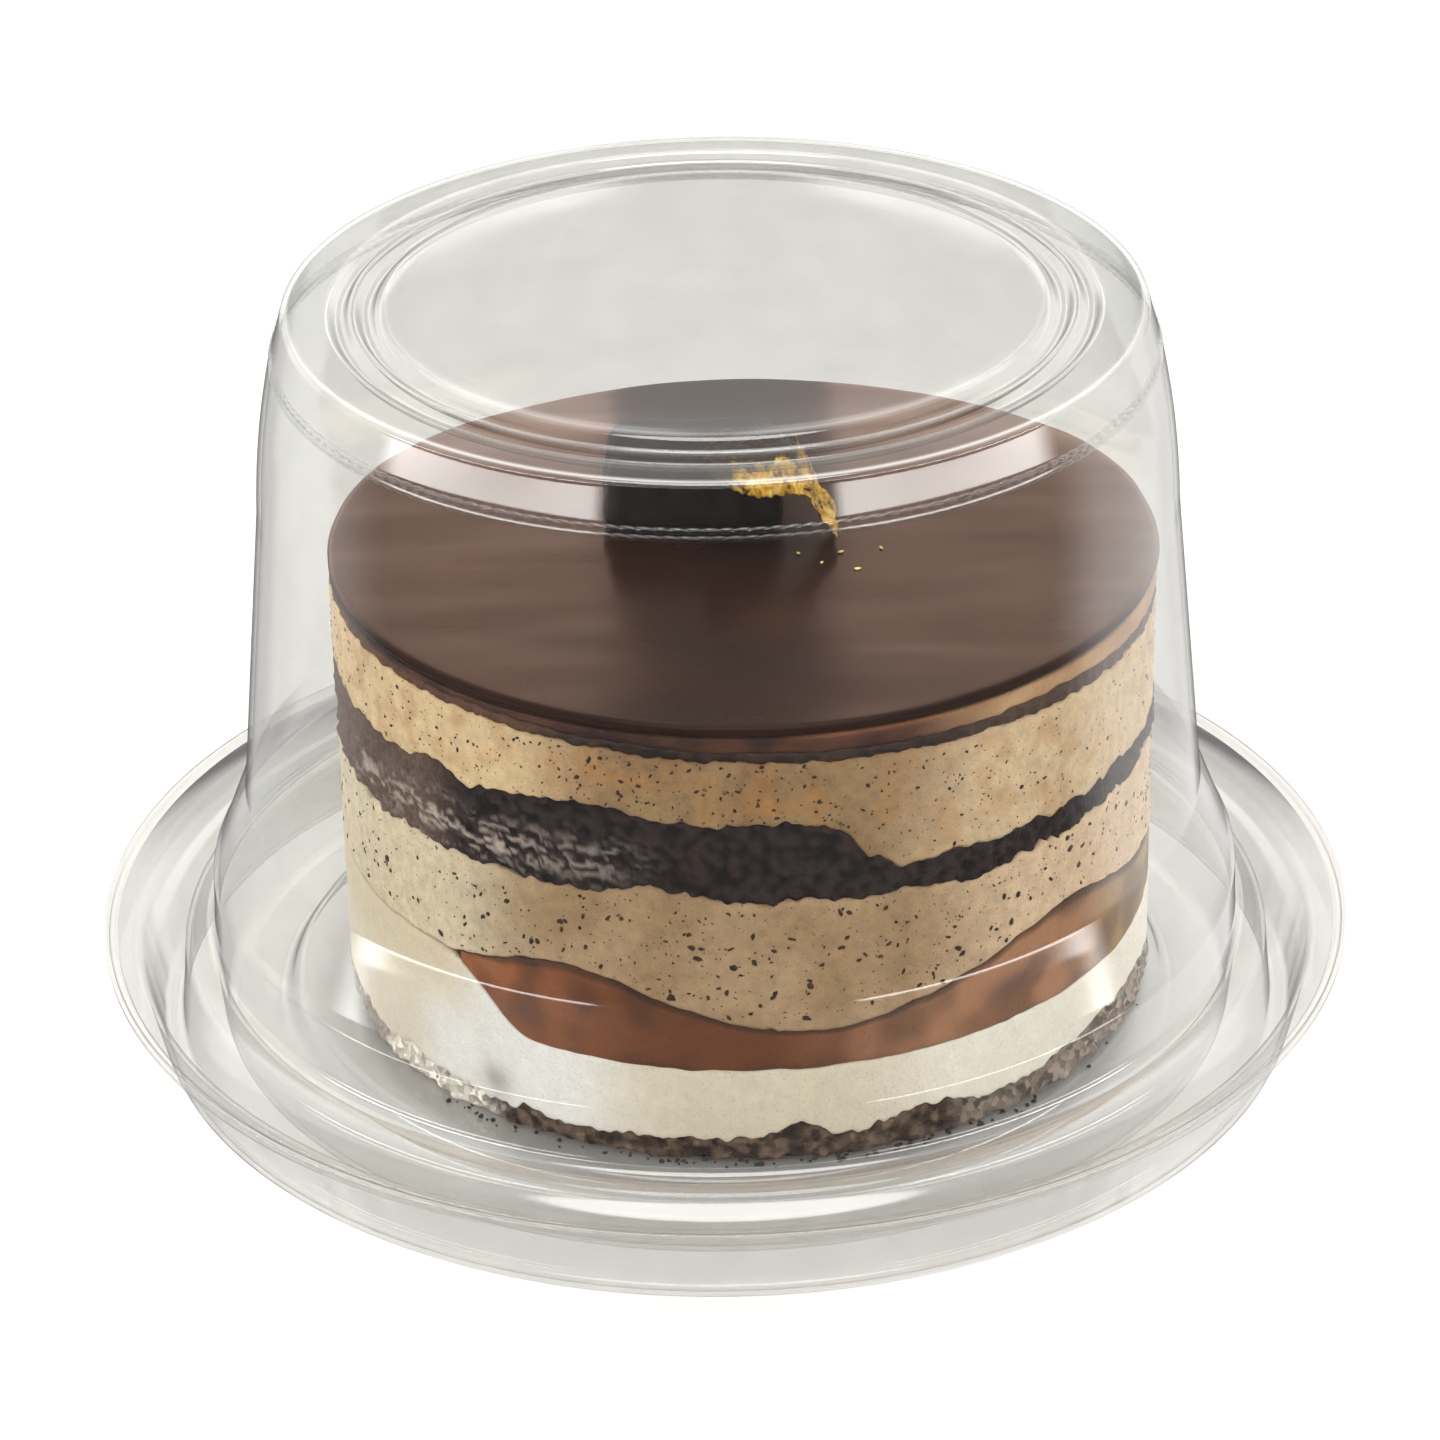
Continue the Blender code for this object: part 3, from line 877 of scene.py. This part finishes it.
def milk_reach(angle):
    """How far out the milk chocolate layer goes: the full radius, or the line where it thins out."""
    side = sin(radians(angle))
    edge = PINCH_X + PINCH_THINNEST
    return min(1.0, edge / (CAKE_RADIUS * side)) if side < 0.0 else 1.0


def layer_piece(name, node, slot, material, low, high, relief, colour, outline=full_round):
    """A cake layer as a closed solid between two faces, with its side in fine relief and painted."""
    angles = [360.0 * i / CAKE_STEPS - 180.0 for i in range(CAKE_STEPS)]
    mean = sum(high(angle, 1.0) - low(angle, 1.0) for angle in angles) / CAKE_STEPS
    rows = max(4, ceil(mean / ROW_PITCH))
    rings = [(0.5, 1.0), (0.9, 1.0), (0.985, 1.0)]
    rings += [(1.0, 1.0 - i / rows) for i in range(rows + 1)]
    rings += [(0.985, 0.0), (0.9, 0.0), (0.5, 0.0)]
    points = [(CAKE_OFFSET_X, 0.0, high(0.0, 0.0))]
    paint = [colour(0.0, high(0.0, 0.0), 1.0)]
    for reach, level in rings:
        for angle in angles:
            limit = outline(angle)
            place = reach * limit if reach > 0.5 else reach
            foot = low(angle, place)
            height = foot + level * (high(angle, place) - foot)
            radius = place * CAKE_RADIUS
            if reach == 1.0 and limit == 1.0:
                radius += relief(angle, height)
                if level in (0.0, 1.0):
                    radius -= LAYER_EDGE
            x, y, height = round_z(radius, radians(angle), height)
            points.append((CAKE_OFFSET_X + x, y, height))
            paint.append(colour(folded(angle), height, level))
    points.append((CAKE_OFFSET_X, 0.0, low(0.0, 0.0)))
    paint.append(colour(0.0, low(0.0, 0.0), 0.0))
    faces = lathe_faces(len(rings), CAKE_STEPS)
    mesh_object(name, points, faces, material, slot, node, paint=np.array(paint))


def painted(tree, share, *stops):
    """The painted colour, made darker and lighter by a ramp of the share."""
    paint = tree.add("Attribute", attribute_name="paint").outputs["Color"]
    return tree.mix(1.0, paint, tree.ramp(share, *stops), "MULTIPLY")


def mousse_material(name, speck_share, rough, mottling):
    """Airy mousse: painted colour, fine bubbles and small dark specks of chocolate."""
    tree = material_tree(name)
    colour = painted(tree, tree.noise(0.7, 4.0), (0.3, 1.0 - mottling), (0.7, 1.0 + 0.5 * mottling))
    bubbles = tree.cells(2.4)
    colour = tree.mix(tree.ramp(bubbles, (0.05, 0.35), (0.3, 0.0)), colour, linear("8A6F50"), "MULTIPLY")
    if speck_share:
        warp = tree.noise(1.6, 3.0, 0.6)
        spots = tree.math("ADD", tree.cells(1.25), tree.math("MULTIPLY", warp, 0.22))
        dark = tree.ramp(spots, (speck_share, 1.0), (speck_share + 0.05, 0.0))
        colour = tree.mix(dark, colour, linear("5A3C28"))
    fine = tree.relief(tree.noise(3.2, 3.0, 0.6), 0.10)
    normal = tree.relief(bubbles, 0.06, under=fine)
    return tree.surface(Base_Color=colour, Roughness=rough, Normal=normal, Specular_IOR_Level=0.35)


def sponge_material():
    tree = material_tree("sponge")
    crumbs = tree.noise(1.8, 4.0, 0.65)
    colour = painted(tree, crumbs, (0.3, 0.7), (0.7, 1.25))
    normal = tree.relief(tree.cells(1.5), 0.2, under=tree.relief(crumbs, 0.25))
    return tree.surface(Base_Color=colour, Roughness=0.85, Normal=normal, Specular_IOR_Level=0.3)


def crumb_material():
    tree = material_tree("crumb")
    colour = painted(tree, tree.cells(1.3, output="Color"), (0.1, 0.5), (0.9, 1.7))
    normal = tree.relief(tree.cells(1.3), 0.3, under=tree.relief(tree.noise(4.0, 3.0), 0.12))
    return tree.surface(Base_Color=colour, Roughness=0.9, Normal=normal, Specular_IOR_Level=0.3)


def dark_chocolate_material():
    tree = material_tree("dark_chocolate")
    streaks = tree.noise((0.5, 0.5, 0.15), 4.0, 0.6, 0.6)
    colour = tree.ramp(streaks, (0.3, linear("15100E")), (0.75, linear("2C211C")))
    normal = tree.relief(tree.noise(1.6, 3.0), 0.08)
    return tree.surface(
        Base_Color=colour, Roughness=0.5, Normal=normal, Specular_IOR_Level=0.2,
        Coat_Weight=0.1, Coat_Roughness=0.15,
    )


def ganache_material():
    tree = material_tree("ganache")
    crumbs = tree.noise(2.5, 4.0, 0.6)
    colour = painted(tree, crumbs, (0.3, 0.7), (0.7, 1.3))
    normal = tree.relief(crumbs, 0.15)
    return tree.surface(Base_Color=colour, Roughness=0.6, Normal=normal)


def build_layers():
    foot = flat(CAKE_FOOT)
    crumb_line = frayed(crumb_top, 0.45, 22.0, 11.0)
    white_line = frayed(white_top, 0.12, 10.0, 12.0)
    milk_line = frayed(milk_top, 0.15, 12.0, 13.0)
    sponge_low = frayed(sponge_foot, 0.45, 18.0, 14.0)
    sponge_high = frayed(sponge_top, 0.45, 18.0, 15.0)
    ganache_low = sagged(frayed(ganache_foot, 0.22, 20.0, 16.0))
    ganache_high = sagged(frayed(ganache_top, 0.16, 20.0, 17.0))
    speckled = mousse_material("speckled_mousse", 0.20, 0.65, 0.18)
    plain = mousse_material("plain_mousse", 0.0, 0.55, 0.07)
    layers = (
        ("crumb_layer", "crumb_base", "crumb", crumb_material(), foot, crumb_line, crumb_relief,
         crumb_colour),
        ("white_layer", "white_mousse", "white_mousse", plain, crumb_line, white_line, smooth_relief,
         white_colour),
        ("milk_layer", "milk_mousse", "milk_mousse", plain, white_line, milk_line, smooth_relief,
         milk_colour, milk_reach),
        ("lower_speckled_layer", "lower_speckled_mousse", "speckled_mousse", speckled, milk_line,
         sponge_low, mousse_relief, lower_mousse_colour),
        ("sponge_layer", "chocolate_sponge", "sponge", sponge_material(), sponge_low, sponge_high,
         sponge_relief, sponge_colour),
        ("upper_speckled_layer", "upper_speckled_mousse", "speckled_mousse", speckled, sponge_high,
         ganache_low, mousse_relief, upper_mousse_colour),
        ("ganache_layer", "ganache_line", "ganache", ganache_material(), ganache_low, ganache_high,
         ganache_relief, ganache_colour),
        ("cap_layer", "cap_mousse", "cap_mousse", plain, ganache_high, sagged(flat(GLAZE_FOOT)),
         smooth_relief, cap_colour),
    )
    for layer in layers:
        layer_piece(*layer)


# Glaze


def glaze_material():
    tree = material_tree("glaze")
    clouds = tree.noise(0.06, 3.0, 0.5, 0.4)
    colour = tree.ramp(clouds, (0.3, linear("20100A")), (0.7, linear("2D1811")))
    normal = tree.relief(tree.noise((0.035, 0.11, 0.05), 1.5, 0.4), 0.35)
    return tree.surface(
        Base_Color=colour, Roughness=0.22, Normal=normal, Specular_IOR_Level=0.08,
        Specular_Tint=SHEEN_COLOUR,
    )


def build_glaze():
    """A thin disc with a rounded edge and a slightly uneven top."""
    half = 0.5 * (GLAZE_TOP - GLAZE_FOOT)
    flat_radius = CAKE_RADIUS - half
    rings = [(radius, GLAZE_TOP) for radius in np.linspace(0.5, flat_radius, GLAZE_TOP_RINGS)]
    for i in range(1, GLAZE_EDGE_RINGS + 1):
        turn = pi * i / (GLAZE_EDGE_RINGS + 1)
        radius = flat_radius + (half + GLAZE_OVERHANG) * sin(turn)
        rings.append((radius, GLAZE_FOOT + half + half * cos(turn)))
    rings += [(radius, GLAZE_FOOT) for radius in (flat_radius, 30.0, 10.0)]
    points = [(CAKE_OFFSET_X, 0.0, GLAZE_TOP)]
    for radius, height in rings:
        for turn in turns(GLAZE_STEPS):
            x, y, height = round_z(radius, turn, height)
            edge = 0.12 * noise_at(x * 0.15, y * 0.15, 3.0) * onset(radius, 35.0, 8.0)
            swell = 0.0
            if height > GLAZE_FOOT + half:
                swell = 0.10 * noise_at(x * 0.06, y * 0.14, 1.0) - 0.06
            scale = 1.0 + edge / CAKE_RADIUS
            points.append((CAKE_OFFSET_X + x * scale, y * scale, height + swell - sag(y)))
    points.append((CAKE_OFFSET_X, 0.0, GLAZE_FOOT))
    faces = lathe_faces(len(rings), GLAZE_STEPS)
    mesh_object("glaze_layer", points, faces, glaze_material(), "glaze", "glaze")


# Decoration


def build_chocolate_piece():
    """A dark chocolate block with soft edges and a lightly brushed surface."""
    sculpt = bmesh.new()
    bmesh.ops.create_cube(sculpt, size=2.0)
    bmesh.ops.subdivide_edges(sculpt, edges=sculpt.edges[:], cuts=PIECE_CUTS, use_grid_fill=True)
    half = Vector(PIECE_SIZE) * 0.5
    for vertex in sculpt.verts:
        place = Vector(vertex.co[i] * half[i] for i in range(3))
        core = Vector(
            min(max(place[i], -half[i] + PIECE_ROUNDING), half[i] - PIECE_ROUNDING) for i in range(3)
        )
        out = (place - core).normalized()
        place = core + out * PIECE_ROUNDING
        wobble = 0.25 * noise.noise(place * 0.25) + 0.08 * noise.noise(place * 0.9) - 0.12
        place += out * wobble
        taper = 1.0 - (1.0 - PIECE_TAPER) * (place.z / PIECE_SIZE[2] + 0.5)
        vertex.co = (
            PIECE_CENTRE[0] + place.x * taper,
            PIECE_CENTRE[1] + place.y * taper,
            GLAZE_TOP + half[2] + place.z,
        )
    material = dark_chocolate_material()
    mesh_object("chocolate_block", *read_out(sculpt), material, "dark_chocolate", "chocolate_piece")


def leaf_point(along):
    """A point of the leaf's path at a share of its length, on a smooth curve through its corners."""
    spans = len(LEAF_PATH) - 1
    span = min(int(along * spans), spans - 1)
    share = along * spans - span
    corners = [LEAF_PATH[min(max(span + step, 0), spans)] for step in (-1, 0, 1, 2)]
    before, start, end, after = (Vector(corner) for corner in corners)
    slope = end - before
    bend = 2 * before - 5 * start + 4 * end - after
    twist = 3 * start - before - 3 * end + after
    return 0.5 * (2 * start + slope * share + bend * share**2 + twist * share**3)


def leaf_droop(along, across):
    """How far the leaf's front edge hangs down before the chocolate piece."""
    return LEAF_DROOP * sin(pi * min(along / LEAF_DROOP_END, 1.0)) * max(0.0, -2.0 * across) ** 2


def leaf_place(along, across):
    """A point of the crumpled leaf. across runs from -0.5 to 0.5 over its width."""
    middle = leaf_point(along)
    ahead = leaf_point(min(along + 0.01, 1.0)) - leaf_point(max(along - 0.01, 0.0))
    normal = Vector((-ahead.y, ahead.x)).normalized()
    crumple = 0.45 * noise_at(7.0 * along, 5.0 * across, 2.5)
    crumple += 0.28 * abs(noise_at(19.0 * along, 11.0 * across, 5.5))
    crumple += 0.12 * abs(noise_at(45.0 * along, 26.0 * across, 8.5))
    ragged = 1.0 + 0.25 * noise_at(9.0 * along, 0.0, 7.1)
    ragged += 0.12 * noise_at(30.0 * along, 3.0 if across > 0 else 9.0, 1.1)
    place = middle + normal * (crumple + 0.05)
    height = place.y - leaf_droop(along, across)
    return Vector((place.x, LEAF_DEPTH + across * LEAF_WIDTH * ragged, height))


def gold_material():
    """Gold that is worn through to the dark chocolate in places."""
    tree = material_tree("gold")
    clouds = tree.noise(0.8, 4.0, 0.6)
    bright = tree.ramp(clouds, (0.3, linear("8A6418")), (0.5, linear("D2A437")), (0.75, linear("F6DC80")))
    patches = tree.noise(0.6, 4.0, 0.65, 0.5)
    worn = tree.ramp(patches, (0.53, 0.0), (0.60, 1.0))
    place = tree.add("SeparateXYZ", {0: tree.scaled(1.0 / LEAF_WIDTH)}).outputs
    on_top = tree.ramp(place["X"], (0.9, 1.0), (1.0, 0.0))
    deep = tree.ramp(tree.math("ADD", place["Y"], patches), (0.08, 0.0), (0.2, 1.0))
    left = tree.ramp(place["X"], (0.15, 1.0), (0.25, 0.0))
    worn = tree.math("MAXIMUM", worn, tree.math("MAXIMUM", left, tree.math("MULTIPLY", on_top, deep)))
    colour = tree.mix(worn, bright, linear("33230F"))
    normal = tree.relief(tree.noise(2.2, 4.0, 0.6), 0.25)
    return tree.surface(Base_Color=colour, Metallic=0.7, Roughness=0.32, Normal=normal)


def build_gold_leaf():
    """A thin leaf of gold, crumpled finely, with a ragged edge and closed in itself."""
    across_cells, deep_cells = LEAF_CELLS
    points = []
    for side in (1.0, -1.0):
        for i in range(across_cells + 1):
            for j in range(deep_cells + 1):
                place = leaf_place(i / across_cells, j / deep_cells - 0.5)
                points.append((place.x, place.y, place.z + side * 0.5 * LEAF_THICKNESS))
    row = deep_cells + 1
    sheet = (across_cells + 1) * row
    faces = []
    for i in range(across_cells):
        for j in range(deep_cells):
            a = i * row + j
            faces.append((a, a + row, a + row + 1, a + 1))
            faces.append((sheet + a, sheet + a + 1, sheet + a + row + 1, sheet + a + row))
    rim = [i * row for i in range(across_cells + 1)]
    rim += [across_cells * row + j for j in range(1, row)]
    rim += [i * row + deep_cells for i in range(across_cells - 1, -1, -1)]
    rim += list(range(deep_cells - 1, 0, -1))
    for here, after in zip(rim, rim[1:] + rim[:1]):
        faces.append((here, sheet + here, sheet + after, after))
    mesh_object("gold_leaf_sheet", points, faces, gold_material(), "gold", "gold_leaf")


# Small loose things


def chips(name, places, material, slot, seed):
    """Small irregular chips, each (point, outward normal, length, width, thickness), as one piece."""
    draw = random.Random(seed)
    points, faces = [], []
    sphere = bmesh.new()
    bmesh.ops.create_icosphere(sphere, subdivisions=1, radius=0.5)
    shape, sides = read_out(sphere)
    for place, normal, length, width, thickness in places:
        side = normal.orthogonal().normalized()
        side.rotate(Matrix.Rotation(draw.uniform(0.0, 2 * pi), 3, normal))
        other = normal.cross(side)
        start = len(points)
        for corner in shape:
            lump = 1.0 + draw.uniform(-0.3, 0.3)
            points.append(
                place
                + side * (corner.x * length * lump)
                + other * (corner.y * width * lump)
                + normal * (corner.z * thickness * lump)
            )
        faces += [tuple(start + i for i in side_faces) for side_faces in sides]
    mesh_object(name, points, faces, material, slot, smooth_faces=False)


def grain_material(name, scale, low, high, rough, fine, depth):
    tree = material_tree(name)
    colour = tree.ramp(tree.noise(scale, 3.0), low, high)
    return tree.surface(Base_Color=colour, Roughness=rough, Normal=tree.relief(tree.noise(fine), depth))


def side_place(angle, height, proud):
    normal = Vector(round_z(1.0, radians(angle), 0.0))
    place = normal * (CAKE_RADIUS + proud)
    return Vector((CAKE_OFFSET_X + place.x, place.y, height)), normal


def build_specks():
    """Dark chocolate specks in both speckled layers, densest at the front of the lower one."""
    draw = random.Random(5)
    places = []
    for low, high, (count, sizes) in (
        (milk_top, sponge_foot, LOWER_SPECKS), (sponge_top, ganache_foot, UPPER_SPECKS)
    ):
        made = 0
        while made < count:
            angle = draw.uniform(-180.0, 180.0)
            share = draw.uniform(0.05, 0.95)
            height = low(angle, 1.0) + share * (high(angle, 1.0) - low(angle, 1.0))
            if draw.random() > SPECK_LEAST + (1.0 - SPECK_LEAST) * bump(angle, SPECK_CENTRE, SPECK_SPREAD):
                continue
            made += 1
            length = draw.choice(sizes) * draw.uniform(0.8, 1.3)
            place, normal = side_place(angle, height, mousse_relief(angle, height))
            places.append((place, normal, length, length * draw.uniform(0.35, 0.8), 0.16))
    dark, light = (0.35, linear("1E130D")), (0.65, linear("4C301E"))
    material = grain_material("chocolate_specks", 1.2, dark, light, 0.6, 4.0, 0.05)
    chips("chocolate_specks", places, material, "dark_chocolate", 6)


def build_crumbs():
    """Loose crumbs on the platform beside the cake's foot."""
    draw = random.Random(8)
    places = []
    for _ in range(CRUMBS):
        angle = draw.gauss(4.0, 30.0)
        radius = CAKE_RADIUS + draw.uniform(-0.6, 0.5) + abs(draw.gauss(0.0, 0.5))
        x, y, _ = round_z(radius, radians(angle), 0.0)
        x += CAKE_OFFSET_X
        if hypot(x, y) > PLATFORM_RADIUS - CORNER:
            continue
        size = draw.uniform(0.25, 0.75)
        height = PLATFORM_TOP + 0.32 * size
        places.append((Vector((x, y, height)), UP, size, size * 0.8, size * 0.6))
    dark, light = (0.3, linear("2A211C")), (0.7, linear("4F4239"))
    material = grain_material("loose_crumb", 1.5, dark, light, 0.9, 5.0, 0.1)
    chips("loose_crumbs", places, material, "crumb", 9)


def build_gold_flecks():
    """Tiny flecks of gold on the glaze beside the leaf."""
    draw = random.Random(21)
    places = []
    for x, y in FLECK_SPOTS:
        size = draw.uniform(0.5, 0.9)
        place = Vector((x, y, GLAZE_TOP + 0.06))
        places.append((place, UP, size, 0.6 * size, 0.2))
    chips("gold_flecks", places, bpy.data.materials["gold"], "gold", 22)


# Stage


def build_stage():
    tree = material_tree("floor")
    colour = tree.ramp(tree.noise(0.02, 2.0), (0.3, (0.76, 0.76, 0.755)), (0.7, (0.79, 0.79, 0.785)))
    material = tree.surface(Base_Color=colour, Roughness=0.9)
    bpy.ops.mesh.primitive_circle_add(vertices=96, radius=FLOOR_RADIUS * MM, fill_type="NGON")
    floor = bpy.context.object
    floor.name = "studio_floor"
    floor.data.materials.append(material)
    floor.visible_glossy = False


def build_world():
    """Studio light by direction, with soft boxes. The camera sees a plain pale background instead."""
    world = bpy.data.worlds.new("studio")
    bpy.context.scene.world = world
    tree = Tree(world)
    math, step, between, region = tree.math, tree.step, tree.between, tree.region
    x, y, z = tree.add("SeparateXYZ", {0: tree.places["Generated"]}).outputs
    level = math("SQRT", math("ADD", math("MULTIPLY", x, x), math("MULTIPLY", y, y)))
    level = math("MAXIMUM", level, 0.001)
    back = math("DIVIDE", y, level)
    across = math("ABSOLUTE", math("DIVIDE", x, level))
    bright = between(step(back, *SIDE_START), FRONT_LIGHT, SIDE_LIGHT)
    bright = between(step(back, *BACK_START), bright, BACK_LIGHT)
    below_share = between(step(x, *BELOW_SIDE), *BELOW_SHARES)
    bright = math("MULTIPLY", bright, between(step(z, *BELOW_START), 1.0, below_share))
    bright = between(step(z, *TOP_START), bright, between(step(back, *TOP_BACK), *TOP_LIGHTS))
    bright = between(step(z, *TOP_BOX_START), bright, TOP_BOX_LIGHT)
    slanted = math("ADD", z, math("MULTIPLY", across, FRONT_BOX_SLANT))
    front_box = region(
        (across, FRONT_BOX_INNER), (back, FRONT_BOX_BACK), (slanted, FRONT_BOX_FOOT),
        (slanted, FRONT_BOX_HEAD),
    )
    behind = region((back, PANEL_BACK), (across, PANEL_GAP))
    low_box = math("MULTIPLY", behind, region((z, LOW_BOX_FOOT), (z, LOW_BOX_HEAD)))
    panel = math("MULTIPLY", behind, region((z, PANEL_FOOT), (z, PANEL_HEAD)))
    leaned = math("ADD", z, math("MULTIPLY", math("ADD", back, 1.0), GROOVE_BOX_SLANT))
    groove_box = region(
        (back, GROOVE_BOX_BACK), (leaned, GROOVE_BOX_FOOT), (leaned, GROOVE_BOX_HEAD)
    )
    groove_light = between(step(across, *GROOVE_BOX_SIDE), *GROOVE_BOX_LIGHTS)
    boxes = (
        (front_box, FRONT_BOX_LIGHT), (groove_box, groove_light), (panel, PANEL_LIGHT),
        (low_box, LOW_BOX_LIGHT),
    )
    for box, light in boxes:
        bright = between(box, bright, light)
    light = tree.add("Background", {"Color": (1.0, 0.985, 0.965), "Strength": bright}).outputs[0]
    seen = tree.add("Background", {"Color": (0.95, 0.95, 0.945), "Strength": 1.0}).outputs[0]
    camera_ray = tree.add("LightPath").outputs["Is Camera Ray"]
    tree.add("OutputWorld", {"Surface": tree.mixed(camera_ray, light, seen)})


def build_glaze_lamps():
    """Two soft panels behind the cake, for the glaze's sheen to the left and right of the block."""
    lit = bpy.data.collections.new("glaze_lit")
    lit.objects.link(bpy.data.objects["glaze_layer"])
    for name, side in (("sheen_left", -1.0), ("sheen_right", 1.0)):
        lamp = bpy.data.lights.new(name, "AREA")
        lamp.shape = "RECTANGLE"
        lamp.size = SHEEN_SIZE[0] * MM
        lamp.size_y = SHEEN_SIZE[1] * MM
        lamp.energy = SHEEN_POWER
        lamp.color = SHEEN_COLOUR
        obj = linked(bpy.data.objects.new(name, lamp))
        x = SHEEN_MIDDLE + side * (SHEEN_GAP + 0.5 * SHEEN_SIZE[0])
        obj.location = Vector((x, SHEEN_PLACE[0], SHEEN_PLACE[1])) * MM
        obj.rotation_euler = (radians(SHEEN_TURN), 0.0, 0.0)
        obj.visible_camera = False
        obj.light_linking.receiver_collection = lit


def build_camera():
    camera = bpy.data.cameras.new("camera")
    camera.sensor_width = SENSOR_WIDTH
    camera.lens = FOCAL_PIXELS / PHOTO_SIZE * SENSOR_WIDTH
    camera.clip_start = 0.01
    obj = linked(bpy.data.objects.new("camera", camera))
    place = Vector(CAMERA_PLACE) * MM
    ahead = (Vector(CAMERA_AIM) * MM - place).normalized()
    right = ahead.cross(UP).normalized()
    up = right.cross(ahead)
    level_right = right * cos(CAMERA_ROLL) + up * sin(CAMERA_ROLL)
    level_up = up * cos(CAMERA_ROLL) - right * sin(CAMERA_ROLL)
    turn = Matrix((level_right, level_up, -ahead)).transposed().to_4x4()
    obj.matrix_world = Matrix.Translation(place) @ turn
    bpy.context.scene.camera = obj


def set_render_look():
    scene = bpy.context.scene
    scene.view_settings.view_transform = "Standard"
    scene.cycles.diffuse_bounces = 2
    scene.cycles.glossy_bounces = 2
    scene.cycles.transparent_max_bounces = 32


def main():
    build_camera()
    build_pack()
    build_layers()
    build_glaze()
    build_chocolate_piece()
    build_gold_leaf()
    build_specks()
    build_crumbs()
    build_gold_flecks()
    build_stage()
    build_world()
    build_glaze_lamps()
    set_render_look()


main()
